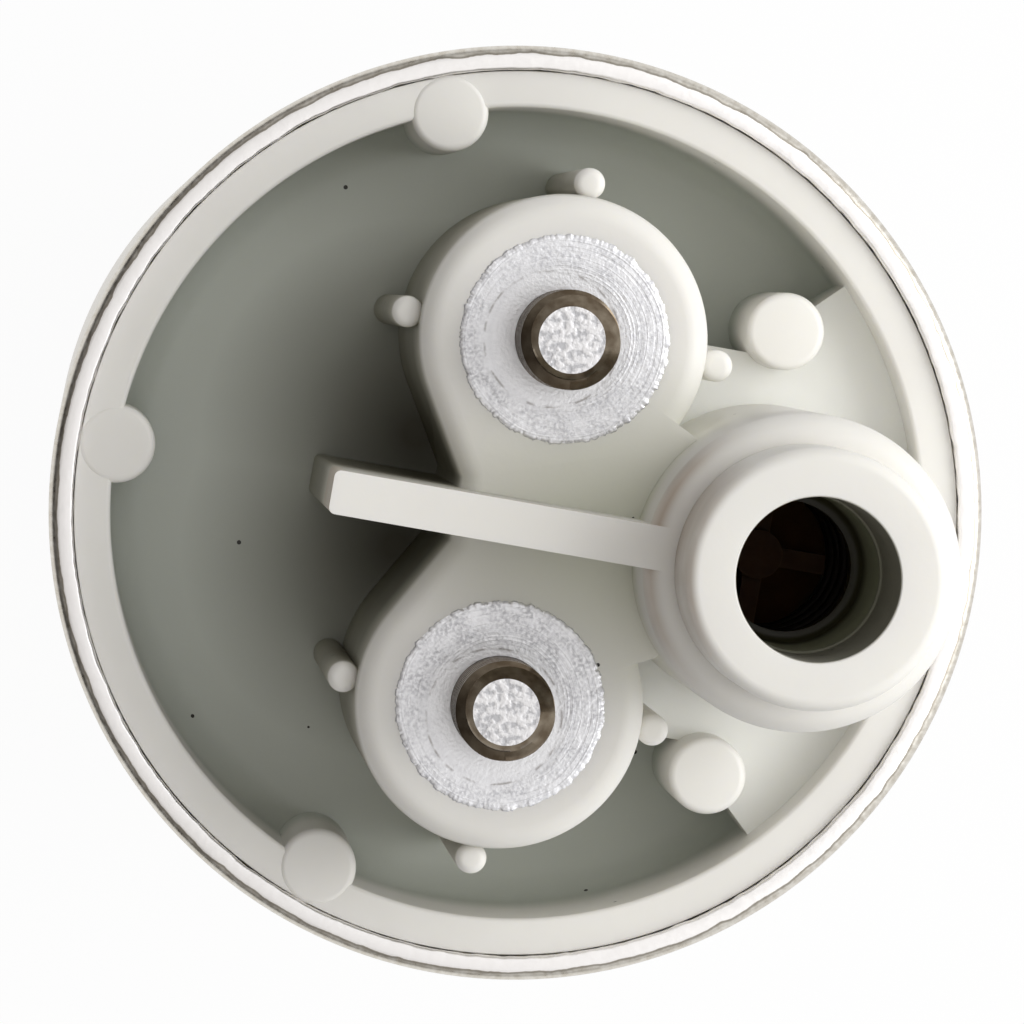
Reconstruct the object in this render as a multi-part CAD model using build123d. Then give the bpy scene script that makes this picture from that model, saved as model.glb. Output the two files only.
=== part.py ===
from build123d import *
from math import acos, atan2, cos, degrees, hypot, radians, sin
import os

# In-tank fuel pump, in millimetres. The origin is on the pump's axis, at the middle of the
# steel housing. +Z runs along the axis to the outlet end, and +X points to the side of the
# outlet spigot. Below a turbine stage draws fuel in, and a two-pole motor drives it.

# Fits between pieces
seat_gap = 0.05
running_gap = 0.04
face_gap = 0.05
slide_gap = 0.1

# Share of a short edge that a rounding may take
edge_share = 0.9

# Steel housing, with a thinned wall at both ends that is closed in over the end pieces
housing_radius = 19.0
housing_length = 84.0
housing_wall = 2.0
closing_wall = 0.8
bottom_closing_depth = 16.0
lip_lean = 0.2
lip_depth = 1.4
lip_flat = 0.6
lip_round = 0.45
lip_inner_round = 0.15

# Rims of the two end pieces, just inside the closed lips
rim_sink = 0.4
rim_clearance = 0.15
rim_slope = 0.9
rim_round = 0.15

# O-rings and their grooves
ring_section = 0.8
groove_width = 2.0
cap_groove_drop = 0.8
cap_groove_land = 2.4
casing_groove_drop = 3.0

# End cap: annular rim, recess and floor
rim_width = 1.35
recess_depth = 8.6
recess_round = 1.4
cap_floor = 2.6
skirt_wall = 1.55
skirt_depth = 5.2

# Terminal bosses, one each side of the axis on Y, joined by a waisted web
boss_radius = 5.7
boss_offset = 7.3
boss_rise = 10.1
boss_round = 0.9
waist_gap = 1.08
waist_angle = 116.9
notch_gap = 0.66
notch_angle = 26.8
nub_radius = 0.63
nub_stand = 0.5
nub_drop = 1.2
nub_round = 0.25

# Partition rib between the terminals, as tall as the outlet tower
rib_width = 1.7
rib_reach = 8.2
rib_round = 0.25

# Outlet tower with its spigot, and the stepped bore through them
tower_gap = 0.08
tower_shoulder = 1.17
tower_rise = 16.2
tower_round = 0.8
spigot_radius = 5.0
spigot_length = 5.6
spigot_round = 0.5
mouth_depth = 6.6
mouth_step = 0.08
mouth_chamfer = 0.08
bore_radius = 3.05
bore_depth = 12.9
throat_radius = 2.6
throat_length = 1.0

# Raised platform round the tower, and round pegs
platform_drop = 3.0
platform_angle = 44.0
platform_half_width = 8.1
peg_radius = 1.58
peg_stand = 0.2
peg_round = 0.3
ring_peg_angles = (109.5, 180.0, 250.5)
loose_peg_inset = 3.27

# Terminals: aluminium bush, threaded stud and the tag below the floor
bush_radius = 4.15
bush_length = 4.8
bush_sink = 0.2
bush_groove = 0.4
stud_radius = 1.95
stud_stand = 4.6
shank_radius = 2.2
stud_chamfer = 0.65
stud_head_radius = 3.0
stud_head_length = 2.6
tail_radius = 1.1
tail_overrun = 0.5
tag_thickness = 0.7
tag_half_width = 1.6

# Suppression chokes beside the terminals
choke_angle = 72.35
choke_inset = 0.36
choke_core_radius = 1.4
choke_core_length = 7.6
choke_coil_radius = 2.5
choke_coil_length = 6.4
choke_turns = 7
choke_holder_wall = 0.9
choke_holder_clearance = 0.1

# Brushes, in moulded holders under the cap's floor
brush_angle = 135.0
brush_offset = 6.4
brush_depth = 4.0
brush_width = 5.0
brush_length = 7.5
brush_travel = 1.2
brush_holder_wall = 0.9
brush_holder_stand = 1.5
brush_spring_length = 6.0
brush_spring_radius = 1.75
brush_spring_wire = 0.5
brush_spring_turns = 5
lead_radius = 0.4
lead_drop = 3.0
lead_slot_width = 1.6
lead_bend = 0.8
lead_sag = 1.7

# Outlet check valve, in a chamber below the throat
chamber_radius = 4.0
valve_seat_length = 3.4
valve_seat_sink = 0.2
valve_port_radius = 2.2
valve_chamfer = 0.5
poppet_radius = 3.1
poppet_head = 1.6
poppet_nose = 1.4
poppet_stem_radius = 1.0
poppet_stem_length = 3.4
poppet_fin_width = 0.8
poppet_fin_length = 2.4
valve_spring_seat = 0.7
valve_spring_wire = 0.45
valve_spring_turns = 6

# Motor: shaft, bearings, armature, commutator and magnets
shaft_radius = 2.0
shaft_chamfer = 0.3
shaft_flat = 0.5
bearing_radius = 3.0
bearing_length = 4.6
bearing_cover = 1.2
hub_wall = 1.6
lower_bearing_radius = 3.5
lower_bearing_floor = 1.8
spacer_radius = 2.9
winding_clearance = 1.15
slot_count = 8
slot_opening = 1.6
slot_tip = 1.5
slot_root_radius = 5.8
slot_root_half_width = 0.9
slot_top_half_width = 2.9
winding_gap = 0.15
winding_inner_radius = 4.3
winding_inset = 0.8
winding_height = 5.4
winding_round = 2.0
commutator_radius = 9.4
commutator_base_length = 2.8
segment_inner_radius = 3.6
segment_length = 2.0
segment_slot = 0.5
segment_count = 8
air_gap = 0.6
magnet_thickness = 3.35
magnet_half_angle = 66.0
magnet_overhang = 2.5
clip_gap_angle = 1.5
clip_thickness = 0.8
clip_leg = 2.4
clip_inset = 5.5

# Turbine stage: cover, casing and impeller
cover_thickness = 5.6
casing_wall = 2.8
casing_hub_radius = 5.4
casing_hub_rise = 1.8
casing_recess_depth = 2.2
casing_recess_inner = 7.2
casing_rib_width = 1.6
casing_rib_count = 6
impeller_thickness = 3.9
impeller_tip_gap = 0.15
vane_count = 31
vane_thickness = 1.0
vane_length = 3.5
vane_web = 0.6
balance_hole_radius = 1.2
balance_hole_count = 4
balance_hole_offset = 7.0
channel_inset = 1.8
channel_radius = 1.7
channel_start = 180.0
channel_sweep = 300.0
casing_port_radius = 1.6
thrust_pad_radius = 2.5
thrust_pad_thickness = 1.0
shaft_tip_depth = 1.8

# Inlet nipple and relief valve on the cover
nipple_inset = 2.9
nipple_collar = 0.9
nipple_radius = 5.6
nipple_bore_radius = 4.0
nipple_length = 8.0
nipple_chamfer = 0.6
inlet_port_radius = 2.2
inlet_port_inset = 1.0
cover_recess_depth = 1.4
cover_recess_inner = 4.6
cover_rim_width = 1.55
cover_rib_width = 1.5
cover_rib_count = 5
relief_inset = 0.5
relief_tower_radius = 3.5
relief_tower_length = 6.4
relief_bore_radius = 2.35
relief_hole_radius = 1.1
relief_hole_length = 1.4
relief_ball_radius = 1.8
relief_plug_length = 1.6
relief_plug_hole = 0.9
relief_spring_radius = 1.6
relief_spring_wire = 0.4
relief_spring_turns = 5

# Heights and radii that follow from the sizes above
half_length = housing_length / 2
housing_bore = housing_radius - housing_wall
end_bore = housing_radius - closing_wall
lip_radius = end_bore - lip_lean
flange_radius = end_bore - seat_gap
rim_radius = lip_radius - rim_clearance
recess_radius = rim_radius - rim_width
skirt_radius = housing_bore - seat_gap
skirt_inner_radius = skirt_radius - skirt_wall
bottom_shoulder = -half_length + bottom_closing_depth
groove_radius = flange_radius - 2 * ring_section - seat_gap
ring_top = half_length - rim_sink
floor_top = ring_top - recess_depth
floor_bottom = floor_top - cap_floor
cap_groove_low = floor_bottom - cap_groove_drop
top_shoulder = cap_groove_low - cap_groove_land
boss_top = ring_top + boss_rise
tower_radius = spigot_radius + tower_shoulder
outlet_offset = recess_radius - tower_gap - tower_radius
tower_top = ring_top + tower_rise
spigot_top = tower_top + spigot_length
bush_top = boss_top - bush_sink
bush_bottom = bush_top - bush_length
tail_end = floor_bottom - tag_thickness - tail_overrun
choke_holder_radius = choke_coil_radius + choke_holder_clearance + choke_holder_wall
choke_offset = skirt_inner_radius - choke_inset - choke_holder_radius
choke_x = choke_offset * cos(radians(choke_angle))
choke_y = choke_offset * sin(radians(choke_angle))
throat_top = spigot_top - bore_depth
chamber_top = throat_top - throat_length
brush_top = floor_bottom - brush_spring_length
commutator_face = brush_top - brush_length - face_gap
base_top = commutator_face - segment_length
base_bottom = base_top - commutator_base_length
cover_inner_face = -ring_top + cover_thickness
casing_top = bottom_shoulder
hub_top = casing_top + casing_hub_rise
core_top = base_bottom - winding_height - winding_gap
core_bottom = hub_top + winding_clearance + winding_height + winding_gap
magnet_radius = housing_bore - seat_gap
core_radius = magnet_radius - magnet_thickness - air_gap
magnet_top = core_top + magnet_overhang
magnet_bottom = core_bottom - magnet_overhang
impeller_radius = flange_radius - casing_wall - impeller_tip_gap
channel_mean_radius = impeller_radius - channel_inset
nipple_offset = channel_mean_radius - nipple_inset
relief_offset = channel_mean_radius - relief_inset
cavity_top = cover_inner_face + impeller_thickness + 2 * face_gap
shaft_bottom = cover_inner_face - shaft_tip_depth
shaft_top = floor_bottom - bearing_cover - face_gap
holder_bottom = commutator_face + brush_holder_stand


def turned(*corners):
    """Solid of revolution about Z. A corner is (radius, height) or (radius, height, rounding)."""
    points = [Vector(corner[0], 0, corner[1]) for corner in corners]
    roundings = [corner[2] if len(corner) == 3 else 0 for corner in corners]
    for number, rounding in enumerate(roundings):
        for beside in (number - 1, (number + 1) % len(corners)):
            edge = (points[beside] - points[number]).length
            if rounding + roundings[beside] > edge:
                roundings[number] = edge * rounding / (rounding + roundings[beside]) * edge_share
    outline = FilletPolyline(*points, radius=roundings, close=True)
    return revolve(make_face(outline), Axis.Z)


def rod(radius, low, high, x=0, y=0):
    """Round bar along Z between two heights."""
    return Pos(x, y, low) * Cylinder(radius, high - low, align=(Align.CENTER, Align.CENTER, Align.MIN))


def block(low, high):
    """Box between two opposite corners."""
    size = [b - a for a, b in zip(low, high)]
    return Pos(*low) * Box(*size, align=(Align.MIN, Align.MIN, Align.MIN))


def plate(outline, low, high):
    """Flat plate between two heights, from its closed outline in X and Y."""
    return Pos(0, 0, low) * extrude(make_face(Polyline(*outline, close=True)), high - low)


def half_turn(solid, times):
    """The solid turned by 180 degrees about the pump's axis, once or not at all."""
    return Rot(0, 0, 180 * times) * solid


def coil_spring(radius, wire, low, high, turns):
    """Compression spring of square wire that fills the space between two heights."""
    rise = high - low - wire
    path = Helix(rise / turns, rise, radius - wire / 2)
    section = Plane(path @ 0, x_dir=(1, 0, 0), z_dir=path % 0) * Rectangle(wire, wire)
    return Pos(0, 0, low + wire / 2) * sweep(section, path=path, is_frenet=True)


# Housing


def housing_tube():
    """Drawn steel tube that carries the magnets' flux, its ends rolled in over both end pieces."""
    top = half_length
    return turned(
        (housing_radius, top, lip_round),
        (lip_radius, top, lip_inner_round),
        (lip_radius, top - lip_flat),
        (end_bore, top - lip_depth),
        (end_bore, top_shoulder),
        (housing_bore, top_shoulder),
        (housing_bore, bottom_shoulder),
        (end_bore, bottom_shoulder),
        (end_bore, -top + lip_depth),
        (lip_radius, -top + lip_flat),
        (lip_radius, -top, lip_inner_round),
        (housing_radius, -top, lip_round),
    )


# End cap


def cap_cup():
    """The cap's turned form: rim, recess and floor above, O-ring groove outside, skirt below."""
    return turned(
        (0, floor_bottom),
        (skirt_inner_radius, floor_bottom),
        (skirt_inner_radius, top_shoulder - skirt_depth),
        (skirt_radius, top_shoulder - skirt_depth),
        (skirt_radius, top_shoulder),
        (flange_radius, top_shoulder),
        (flange_radius, cap_groove_low),
        (groove_radius, cap_groove_low),
        (groove_radius, cap_groove_low + groove_width),
        (flange_radius, cap_groove_low + groove_width),
        (flange_radius, ring_top - rim_slope - rim_sink),
        (rim_radius, ring_top - rim_sink),
        (rim_radius, ring_top, rim_round),
        (recess_radius, ring_top, rim_round),
        (recess_radius, floor_top, recess_round),
        (0, floor_top),
    )


def terminal_boss(side):
    """Round boss on the cap's floor, with a rounded rim and three half-round nubs on its wall."""
    boss = turned(
        (0, floor_top),
        (boss_radius, floor_top),
        (boss_radius, boss_top, boss_round),
        (0, boss_top),
    )
    nub = turned(
        (0, floor_top),
        (nub_radius, floor_top),
        (nub_radius, boss_top - nub_drop, nub_round),
        (0, boss_top - nub_drop),
    )
    for angle in (0, 90 * side, 180):
        boss += Rot(0, 0, angle) * Pos(boss_radius + nub_stand, 0) * nub
    return Pos(0, side * boss_offset) * boss


def web_half():
    """Half of the web between the bosses: from the waist along a tangent to one boss, and over to the tower.

    Its long edge at the top is rounded as the boss is, so that both run into one another.
    """
    waist_distance = boss_radius + waist_gap
    waist = radians(-waist_angle)
    tangent = waist - acos(boss_radius / waist_distance)
    notch = radians(-notch_angle)
    notch_distance = boss_radius + notch_gap
    waist_x = waist_distance * cos(waist)
    outline = [
        (waist_x, 0),
        (waist_x, boss_offset + waist_distance * sin(waist)),
        (boss_radius * cos(tangent), boss_offset + boss_radius * sin(tangent)),
        (0, boss_offset),
        (notch_distance * cos(notch), boss_offset + notch_distance * sin(notch)),
        (outlet_offset, 0),
    ]
    web = plate(outline, floor_top, boss_top)
    top_edges = web.edges().group_by(Axis.Z)[-1].sort_by(Axis.X)
    return fillet(top_edges[:2], boss_round)


def partition_rib():
    """Tall thin wall between the two terminals, from the outlet tower across the recess."""
    rib = block(
        (-rib_reach, -rib_width / 2, floor_top),
        (outlet_offset - spigot_radius, rib_width / 2, tower_top),
    )
    end_edges = rib.edges().filter_by(Axis.Z).group_by(Axis.X)[0]
    return fillet(end_edges, rib_round)


def outlet_tower():
    """Round tower with a flat shoulder, and the plain spigot that the outlet hose goes on."""
    tower = turned(
        (0, floor_top),
        (tower_radius, floor_top),
        (tower_radius, tower_top, tower_round),
        (spigot_radius, tower_top),
        (spigot_radius, spigot_top, spigot_round),
        (0, spigot_top),
    )
    return Pos(outlet_offset, 0) * tower


def outlet_passage():
    """Space inside the tower: mouth, bore, throat, and the valve chamber open to the motor."""
    mouth_radius = bore_radius + mouth_step
    passage = turned(
        (0, floor_bottom - face_gap),
        (chamber_radius, floor_bottom - face_gap),
        (chamber_radius, chamber_top),
        (throat_radius, chamber_top),
        (throat_radius, throat_top),
        (bore_radius, throat_top),
        (bore_radius, spigot_top - mouth_depth),
        (mouth_radius, spigot_top - mouth_depth + mouth_step),
        (mouth_radius, spigot_top - mouth_chamfer),
        (mouth_radius + mouth_chamfer, spigot_top),
        (0, spigot_top),
    )
    return Pos(outlet_offset, 0) * passage


def raised_platform():
    """Flat platform round the tower, bounded by two straight edges and the two loose pegs."""
    spread = radians(platform_angle)
    far = recess_radius + rim_round
    corner_x = platform_half_width / sin(spread) * cos(spread)
    upper_half = [
        (0, platform_half_width),
        (corner_x, platform_half_width),
        (2 * far * cos(spread), 2 * far * sin(spread)),
    ]
    lower_half = [(x, -y) for x, y in reversed(upper_half)]
    wedge = plate(upper_half + lower_half, floor_top, ring_top - platform_drop)
    return wedge & rod(far, floor_top, ring_top)


def round_pegs():
    """Pegs that stand level with the rim: three on the recess wall and two on the platform."""
    peg = turned(
        (0, floor_top),
        (peg_radius, floor_top),
        (peg_radius, ring_top + peg_stand, peg_round),
        (0, ring_top + peg_stand),
    )
    places = [(angle, recess_radius) for angle in ring_peg_angles]
    loose_peg_radius = recess_radius - loose_peg_inset
    places += [(angle, loose_peg_radius) for angle in (platform_angle, -platform_angle)]
    within_rim = rod(rim_radius, floor_top, ring_top + peg_stand)
    return [(Rot(0, 0, angle) * Pos(radius, 0) * peg) & within_rim for angle, radius in places]


def terminal_space(side):
    """Stepped hole through a boss: bush seat, pocket for the stud's head, and tail hole."""
    head_bottom = bush_bottom - stud_head_length
    space = turned(
        (0, tail_end - seat_gap),
        (tail_radius + seat_gap, tail_end - seat_gap),
        (tail_radius + seat_gap, head_bottom - seat_gap),
        (stud_head_radius + seat_gap, head_bottom - seat_gap),
        (stud_head_radius + seat_gap, bush_bottom),
        (bush_radius + seat_gap, bush_bottom),
        (bush_radius + seat_gap, boss_top),
        (0, boss_top),
    )
    return Pos(0, side * boss_offset) * space


def at_brush(solid, times):
    """Carries a solid from the X axis to one of the two brush positions."""
    return half_turn(Rot(0, 0, brush_angle) * Pos(brush_offset, 0) * solid, times)


def brush_holder(times):
    """Rectangular sleeve under the floor, round one brush."""
    half_x = brush_depth / 2 + slide_gap + brush_holder_wall
    half_y = brush_width / 2 + slide_gap + brush_holder_wall
    return at_brush(block((-half_x, -half_y, holder_bottom), (half_x, half_y, floor_bottom)), times)


def brush_space(times):
    """Space for the brush and its spring, with a slot for the lead to travel in."""
    half_x = brush_depth / 2 + slide_gap
    half_y = brush_width / 2 + slide_gap
    low = holder_bottom - face_gap
    space = block((-half_x, -half_y, low), (half_x, half_y, floor_bottom))
    slot_top = brush_top - lead_drop + brush_travel + lead_slot_width
    slot_end = -half_y - 2 * brush_holder_wall
    space += block((-lead_slot_width / 2, slot_end, low), (lead_slot_width / 2, 0, slot_top))
    return at_brush(space, times)


def choke_holder(times):
    """Round sleeve under the floor that carries one suppression choke."""
    low = floor_bottom - tag_thickness - choke_core_length
    return half_turn(rod(choke_holder_radius, low, floor_bottom, choke_x, choke_y), times)


def choke_space(times):
    """Space inside a choke's sleeve, with the way in for the terminal's tag."""
    radius = choke_coil_radius + choke_holder_clearance
    low = floor_bottom - tag_thickness - choke_core_length - face_gap
    space = rod(radius, low, floor_bottom, choke_x, choke_y)
    space += tag_form(tag_half_width + slide_gap, floor_bottom - tag_thickness - slide_gap, floor_bottom)
    return half_turn(space, times)


def end_cap():
    """One acetal moulding: rim, recess, bosses, web, rib, outlet tower, pegs and holders."""
    cap = cap_cup() + raised_platform() + partition_rib() + outlet_tower()
    cap += web_half()
    cap += mirror(web_half(), about=Plane.XZ)
    for side in (1, -1):
        cap += terminal_boss(side)
    for peg in round_pegs():
        cap += peg
    hub_bottom = shaft_top + face_gap - bearing_length
    cap += rod(bearing_radius + seat_gap + hub_wall, hub_bottom, floor_bottom)
    for times in (0, 1):
        cap += brush_holder(times)
        cap += choke_holder(times)
    for side in (1, -1):
        cap -= terminal_space(side)
    for times in (0, 1):
        cap -= brush_space(times)
        cap -= choke_space(times)
    cap -= outlet_passage()
    cap -= rod(bearing_radius + seat_gap, hub_bottom - face_gap, floor_bottom - bearing_cover)
    return cap


# Seals


def seal_ring(groove_low):
    """Rubber O-ring in a groove, between an end piece and the housing."""
    middle = groove_low + groove_width / 2
    section = Plane.XZ * Pos(end_bore - seat_gap - ring_section, middle) * Circle(ring_section)
    return revolve(section, Axis.Z)


# Terminals


def terminal_bush():
    """Aluminium bush pressed in the boss, with a grip groove round it and a bore for the stud."""
    middle = (bush_top + bush_bottom) / 2
    inner = shank_radius + seat_gap
    return turned(
        (inner, bush_bottom),
        (bush_radius, bush_bottom),
        (bush_radius, middle - bush_groove),
        (bush_radius - bush_groove, middle),
        (bush_radius, middle + bush_groove),
        (bush_radius, bush_top),
        (inner, bush_top),
    )


def terminal_stud():
    """Plated steel stud: screw end, plain shank in the bush, hexagonal head below, and thin tail."""
    top = bush_top + stud_stand
    head_bottom = bush_bottom - stud_head_length
    shank = turned(
        (0, bush_bottom),
        (shank_radius, bush_bottom),
        (shank_radius, bush_top),
        (stud_radius, bush_top),
        (stud_radius, top - stud_chamfer),
        (stud_radius - stud_chamfer, top),
        (0, top),
    )
    head = extrude(RegularPolygon(stud_head_radius, 6), stud_head_length)
    tail = rod(tail_radius, tail_end, head_bottom)
    return shank + Pos(0, 0, head_bottom) * head + tail


def tag_form(half_width, low, high):
    """Flat bar with round ends, from a terminal's tail to its choke."""
    form = rod(half_width, low, high, 0, boss_offset) + rod(half_width, low, high, choke_x, choke_y)
    run = hypot(choke_x, choke_y - boss_offset)
    bar = block((0, -half_width, low), (run, half_width, high))
    turn = degrees(atan2(choke_y - boss_offset, choke_x))
    return form + Pos(0, boss_offset) * Rot(0, 0, turn) * bar


def terminal_tag():
    """Brass strip riveted on the stud's tail, which carries the current to the choke."""
    high = floor_bottom - seat_gap
    tag = tag_form(tag_half_width, high - tag_thickness, high)
    return tag - rod(tail_radius + seat_gap, high - tag_thickness, high, 0, boss_offset)


def choke_core():
    """Ferrite rod of the suppression choke."""
    high = floor_bottom - tag_thickness - slide_gap
    return rod(choke_core_radius, high - choke_core_length, high, choke_x, choke_y)


def choke_coil():
    """Close winding of enamelled copper wire round the ferrite rod, as a ridged sleeve."""
    middle = floor_bottom - tag_thickness - slide_gap - choke_core_length / 2
    low = middle - choke_coil_length / 2
    wire = choke_coil_length / choke_turns
    inner = choke_core_radius + seat_gap
    corners = [(inner, low + choke_coil_length), (inner, low)]
    for turn in range(choke_turns):
        base = low + turn * wire
        corners.append((choke_coil_radius - wire / 3, base))
        corners.append((choke_coil_radius, base + wire / 2))
    corners.append((choke_coil_radius - wire / 3, low + choke_coil_length))
    return Pos(choke_x, choke_y) * turned(*corners)


# Brushes


def brush():
    """Carbon brush that runs on the flat face of the commutator."""
    low = commutator_face + face_gap
    half_x = brush_depth / 2
    half_y = brush_width / 2
    body = block((-half_x, -half_y, low), (half_x, half_y, brush_top))
    return chamfer(body.edges().group_by(Axis.Z)[-1], face_gap * 4)


def brush_lead():
    """Flexible copper lead from the side of the brush to the lower end of the choke."""
    turn = radians(brush_angle)
    side = brush_width / 2 + seat_gap
    start_x = brush_offset * cos(turn) + side * sin(turn)
    start_y = brush_offset * sin(turn) - side * cos(turn)
    out = 2 * brush_holder_wall + 2 * lead_radius
    height = brush_top - lead_drop
    choke_end = floor_bottom - tag_thickness - slide_gap - choke_core_length - seat_gap
    sag = choke_end - lead_sag
    path = FilletPolyline(
        (start_x, start_y, height),
        (start_x + out * sin(turn), start_y - out * cos(turn), height),
        (choke_x, choke_y, sag),
        (choke_x, choke_y, choke_end),
        radius=lead_bend,
    )
    section = Plane(path @ 0, z_dir=path % 0) * Circle(lead_radius)
    return sweep(section, path=path)


# Outlet check valve


def outlet_valve_seat():
    """Ring pressed in the lower end of the chamber, with a conical seat on its upper edge."""
    low = floor_bottom + valve_seat_sink
    high = low + valve_seat_length
    ring = turned(
        (valve_port_radius, low),
        (chamber_radius - seat_gap, low),
        (chamber_radius - seat_gap, high),
        (valve_port_radius + valve_chamfer, high),
        (valve_port_radius, high - valve_chamfer),
    )
    return Pos(outlet_offset, 0) * ring


def outlet_valve_poppet():
    """Valve body: nose in the seat, sealing disc, four guide fins and a stem for the spring."""
    seat = floor_bottom + valve_seat_sink + valve_seat_length + face_gap
    head_top = seat + poppet_head
    nose_radius = valve_port_radius - slide_gap - valve_chamfer
    poppet = turned(
        (0, seat - poppet_nose),
        (nose_radius / 2, seat - poppet_nose),
        (nose_radius, seat),
        (poppet_radius, seat),
        (poppet_radius, head_top),
        (poppet_stem_radius, head_top + poppet_radius / 2),
        (poppet_stem_radius, head_top + poppet_stem_length),
        (0, head_top + poppet_stem_length),
    )
    reach = chamber_radius - slide_gap
    half = poppet_fin_width / 2
    for angle in (0, 90):
        fin = block((-reach, -half, head_top - poppet_head / 2), (reach, half, head_top + poppet_fin_length))
        poppet += Rot(0, 0, angle) * (fin & rod(reach, seat, head_top + poppet_fin_length))
    return Pos(outlet_offset, 0) * poppet


def outlet_valve_spring():
    """Light spring between the poppet's fins and the shoulder below the throat."""
    low = floor_bottom + valve_seat_sink + valve_seat_length + face_gap + poppet_head + poppet_fin_length
    spring = coil_spring(
        throat_radius + valve_spring_seat,
        valve_spring_wire,
        low + face_gap,
        chamber_top - face_gap,
        valve_spring_turns,
    )
    return Pos(outlet_offset, 0) * spring


# Motor


def shaft():
    """Ground steel shaft, with a flat on its lower end that drives the impeller."""
    bar = turned(
        (0, shaft_bottom),
        (shaft_radius - shaft_chamfer, shaft_bottom),
        (shaft_radius, shaft_bottom + shaft_chamfer),
        (shaft_radius, shaft_top - shaft_chamfer),
        (shaft_radius - shaft_chamfer, shaft_top),
        (0, shaft_top),
    )
    flat = block(
        (shaft_radius - shaft_flat, -shaft_radius, shaft_bottom),
        (shaft_radius, shaft_radius, cavity_top),
    )
    return bar - flat


def sleeve(outer, low, high, gap):
    """Plain ring on the shaft."""
    inner = shaft_radius + gap
    return turned((inner, low), (outer, low), (outer, high), (inner, high))


def upper_bearing():
    """Carbon bush in the cap's hub."""
    high = shaft_top + face_gap
    return sleeve(bearing_radius, high - bearing_length, high - face_gap, running_gap)


def lower_bearing():
    """Carbon bush in the pump casing."""
    return sleeve(lower_bearing_radius, cavity_top + lower_bearing_floor, hub_top, running_gap)


def upper_spacer():
    """Sleeve that keeps the commutator at its distance from the upper bearing."""
    high = shaft_top + face_gap - bearing_length - face_gap
    return sleeve(spacer_radius, base_top + seat_gap, high, seat_gap)


def lower_spacer():
    """Sleeve that keeps the armature at its distance from the lower bearing."""
    return sleeve(spacer_radius, hub_top + face_gap, core_bottom - seat_gap, seat_gap)


def slot_wedge(shrink, low, high):
    """One armature slot's section along +X, made smaller all round for what lies in it."""
    root = slot_root_radius + shrink
    top = core_radius - slot_tip - shrink
    return plate(
        [
            (root, -slot_root_half_width + shrink),
            (top, -slot_top_half_width + shrink),
            (top, slot_top_half_width - shrink),
            (root, slot_root_half_width - shrink),
        ],
        low,
        high,
    )


def armature_core():
    """Stack of punched steel sheets with slots for the winding."""
    core = sleeve(core_radius, core_bottom, core_top, seat_gap)
    opening = block(
        (core_radius - 2 * slot_tip, -slot_opening / 2, core_bottom),
        (core_radius + slot_tip, slot_opening / 2, core_top),
    )
    slot = slot_wedge(0, core_bottom, core_top) + opening
    for number in range(slot_count):
        core -= Rot(0, 0, number * 360 / slot_count) * slot
    return core


def armature_winding():
    """Copper winding: a rounded bundle over each face of the core, and the wires in the slots."""
    low = core_bottom - winding_gap
    high = core_top + winding_gap
    winding_outer_radius = core_radius - winding_inset
    winding = slot_bundles(low, high)
    for face, outer in ((high, high + winding_height), (low, low - winding_height)):
        winding += turned(
            (winding_inner_radius, face),
            (winding_outer_radius, face),
            (winding_outer_radius, outer, winding_round),
            (winding_inner_radius, outer, winding_round),
        )
    return winding


def slot_bundles(low, high):
    """The wires that lie in the slots of the core."""
    bundles = Part()
    for number in range(slot_count):
        bundles += Rot(0, 0, number * 360 / slot_count) * slot_wedge(winding_gap, low, high)
    return bundles


def commutator_base():
    """Moulded disc on the shaft that carries the commutator's segments."""
    return sleeve(commutator_radius, base_bottom, base_top, seat_gap)


def commutator_segments():
    """Flat carbon ring, cut into segments that are insulated from one another."""
    ring = turned(
        (segment_inner_radius, base_top),
        (commutator_radius, base_top),
        (commutator_radius, commutator_face),
        (segment_inner_radius, commutator_face),
    )
    cut = block((0, -segment_slot / 2, base_top), (housing_radius, segment_slot / 2, commutator_face))
    for number in range(segment_count):
        ring -= Rot(0, 0, (number + 0.5) * 360 / segment_count) * cut
    return ring


def magnet(times):
    """Ferrite arc magnet against the inside of the housing."""
    shell = rod(magnet_radius, magnet_bottom, magnet_top)
    shell -= rod(magnet_radius - magnet_thickness, magnet_bottom, magnet_top)
    spread = radians(magnet_half_angle)
    far = 3 * housing_radius
    wedge = plate(
        [(0, 0), (far * cos(spread), -far * sin(spread)), (far, 0), (far * cos(spread), far * sin(spread))],
        magnet_bottom,
        magnet_top,
    )
    return half_turn(shell & wedge, times)


def magnet_clip(times):
    """Spring steel clip between the magnets, which pushes them apart against the housing."""
    low = magnet_bottom + clip_inset
    high = magnet_top - clip_inset
    band = rod(magnet_radius, low, high) - rod(magnet_radius - clip_thickness, low, high)
    clip_half_angle = 90 - magnet_half_angle - clip_gap_angle
    spread = radians(clip_half_angle)
    far = 2 * housing_radius
    clip = band & plate(
        [(0, 0), (far * sin(spread), far * cos(spread)), (-far * sin(spread), far * cos(spread))],
        low,
        high,
    )
    for side in (1, -1):
        leg = block(
            (-clip_thickness / 2, magnet_radius - clip_leg, low),
            (clip_thickness / 2, magnet_radius - clip_thickness / 2, high),
        )
        leg_angle = clip_half_angle - degrees(clip_thickness / 2 / magnet_radius)
        clip += Rot(0, 0, side * leg_angle) * leg
    return half_turn(clip, times)


# Turbine stage


def flow_channel(height):
    """Half-round channel beside the impeller's vanes, from the inlet round to the outlet port."""
    section = Plane.XZ * Pos(channel_mean_radius, height) * Circle(channel_radius)
    channel = revolve(section, Axis.Z, channel_sweep)
    return Rot(0, 0, channel_start) * channel


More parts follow.
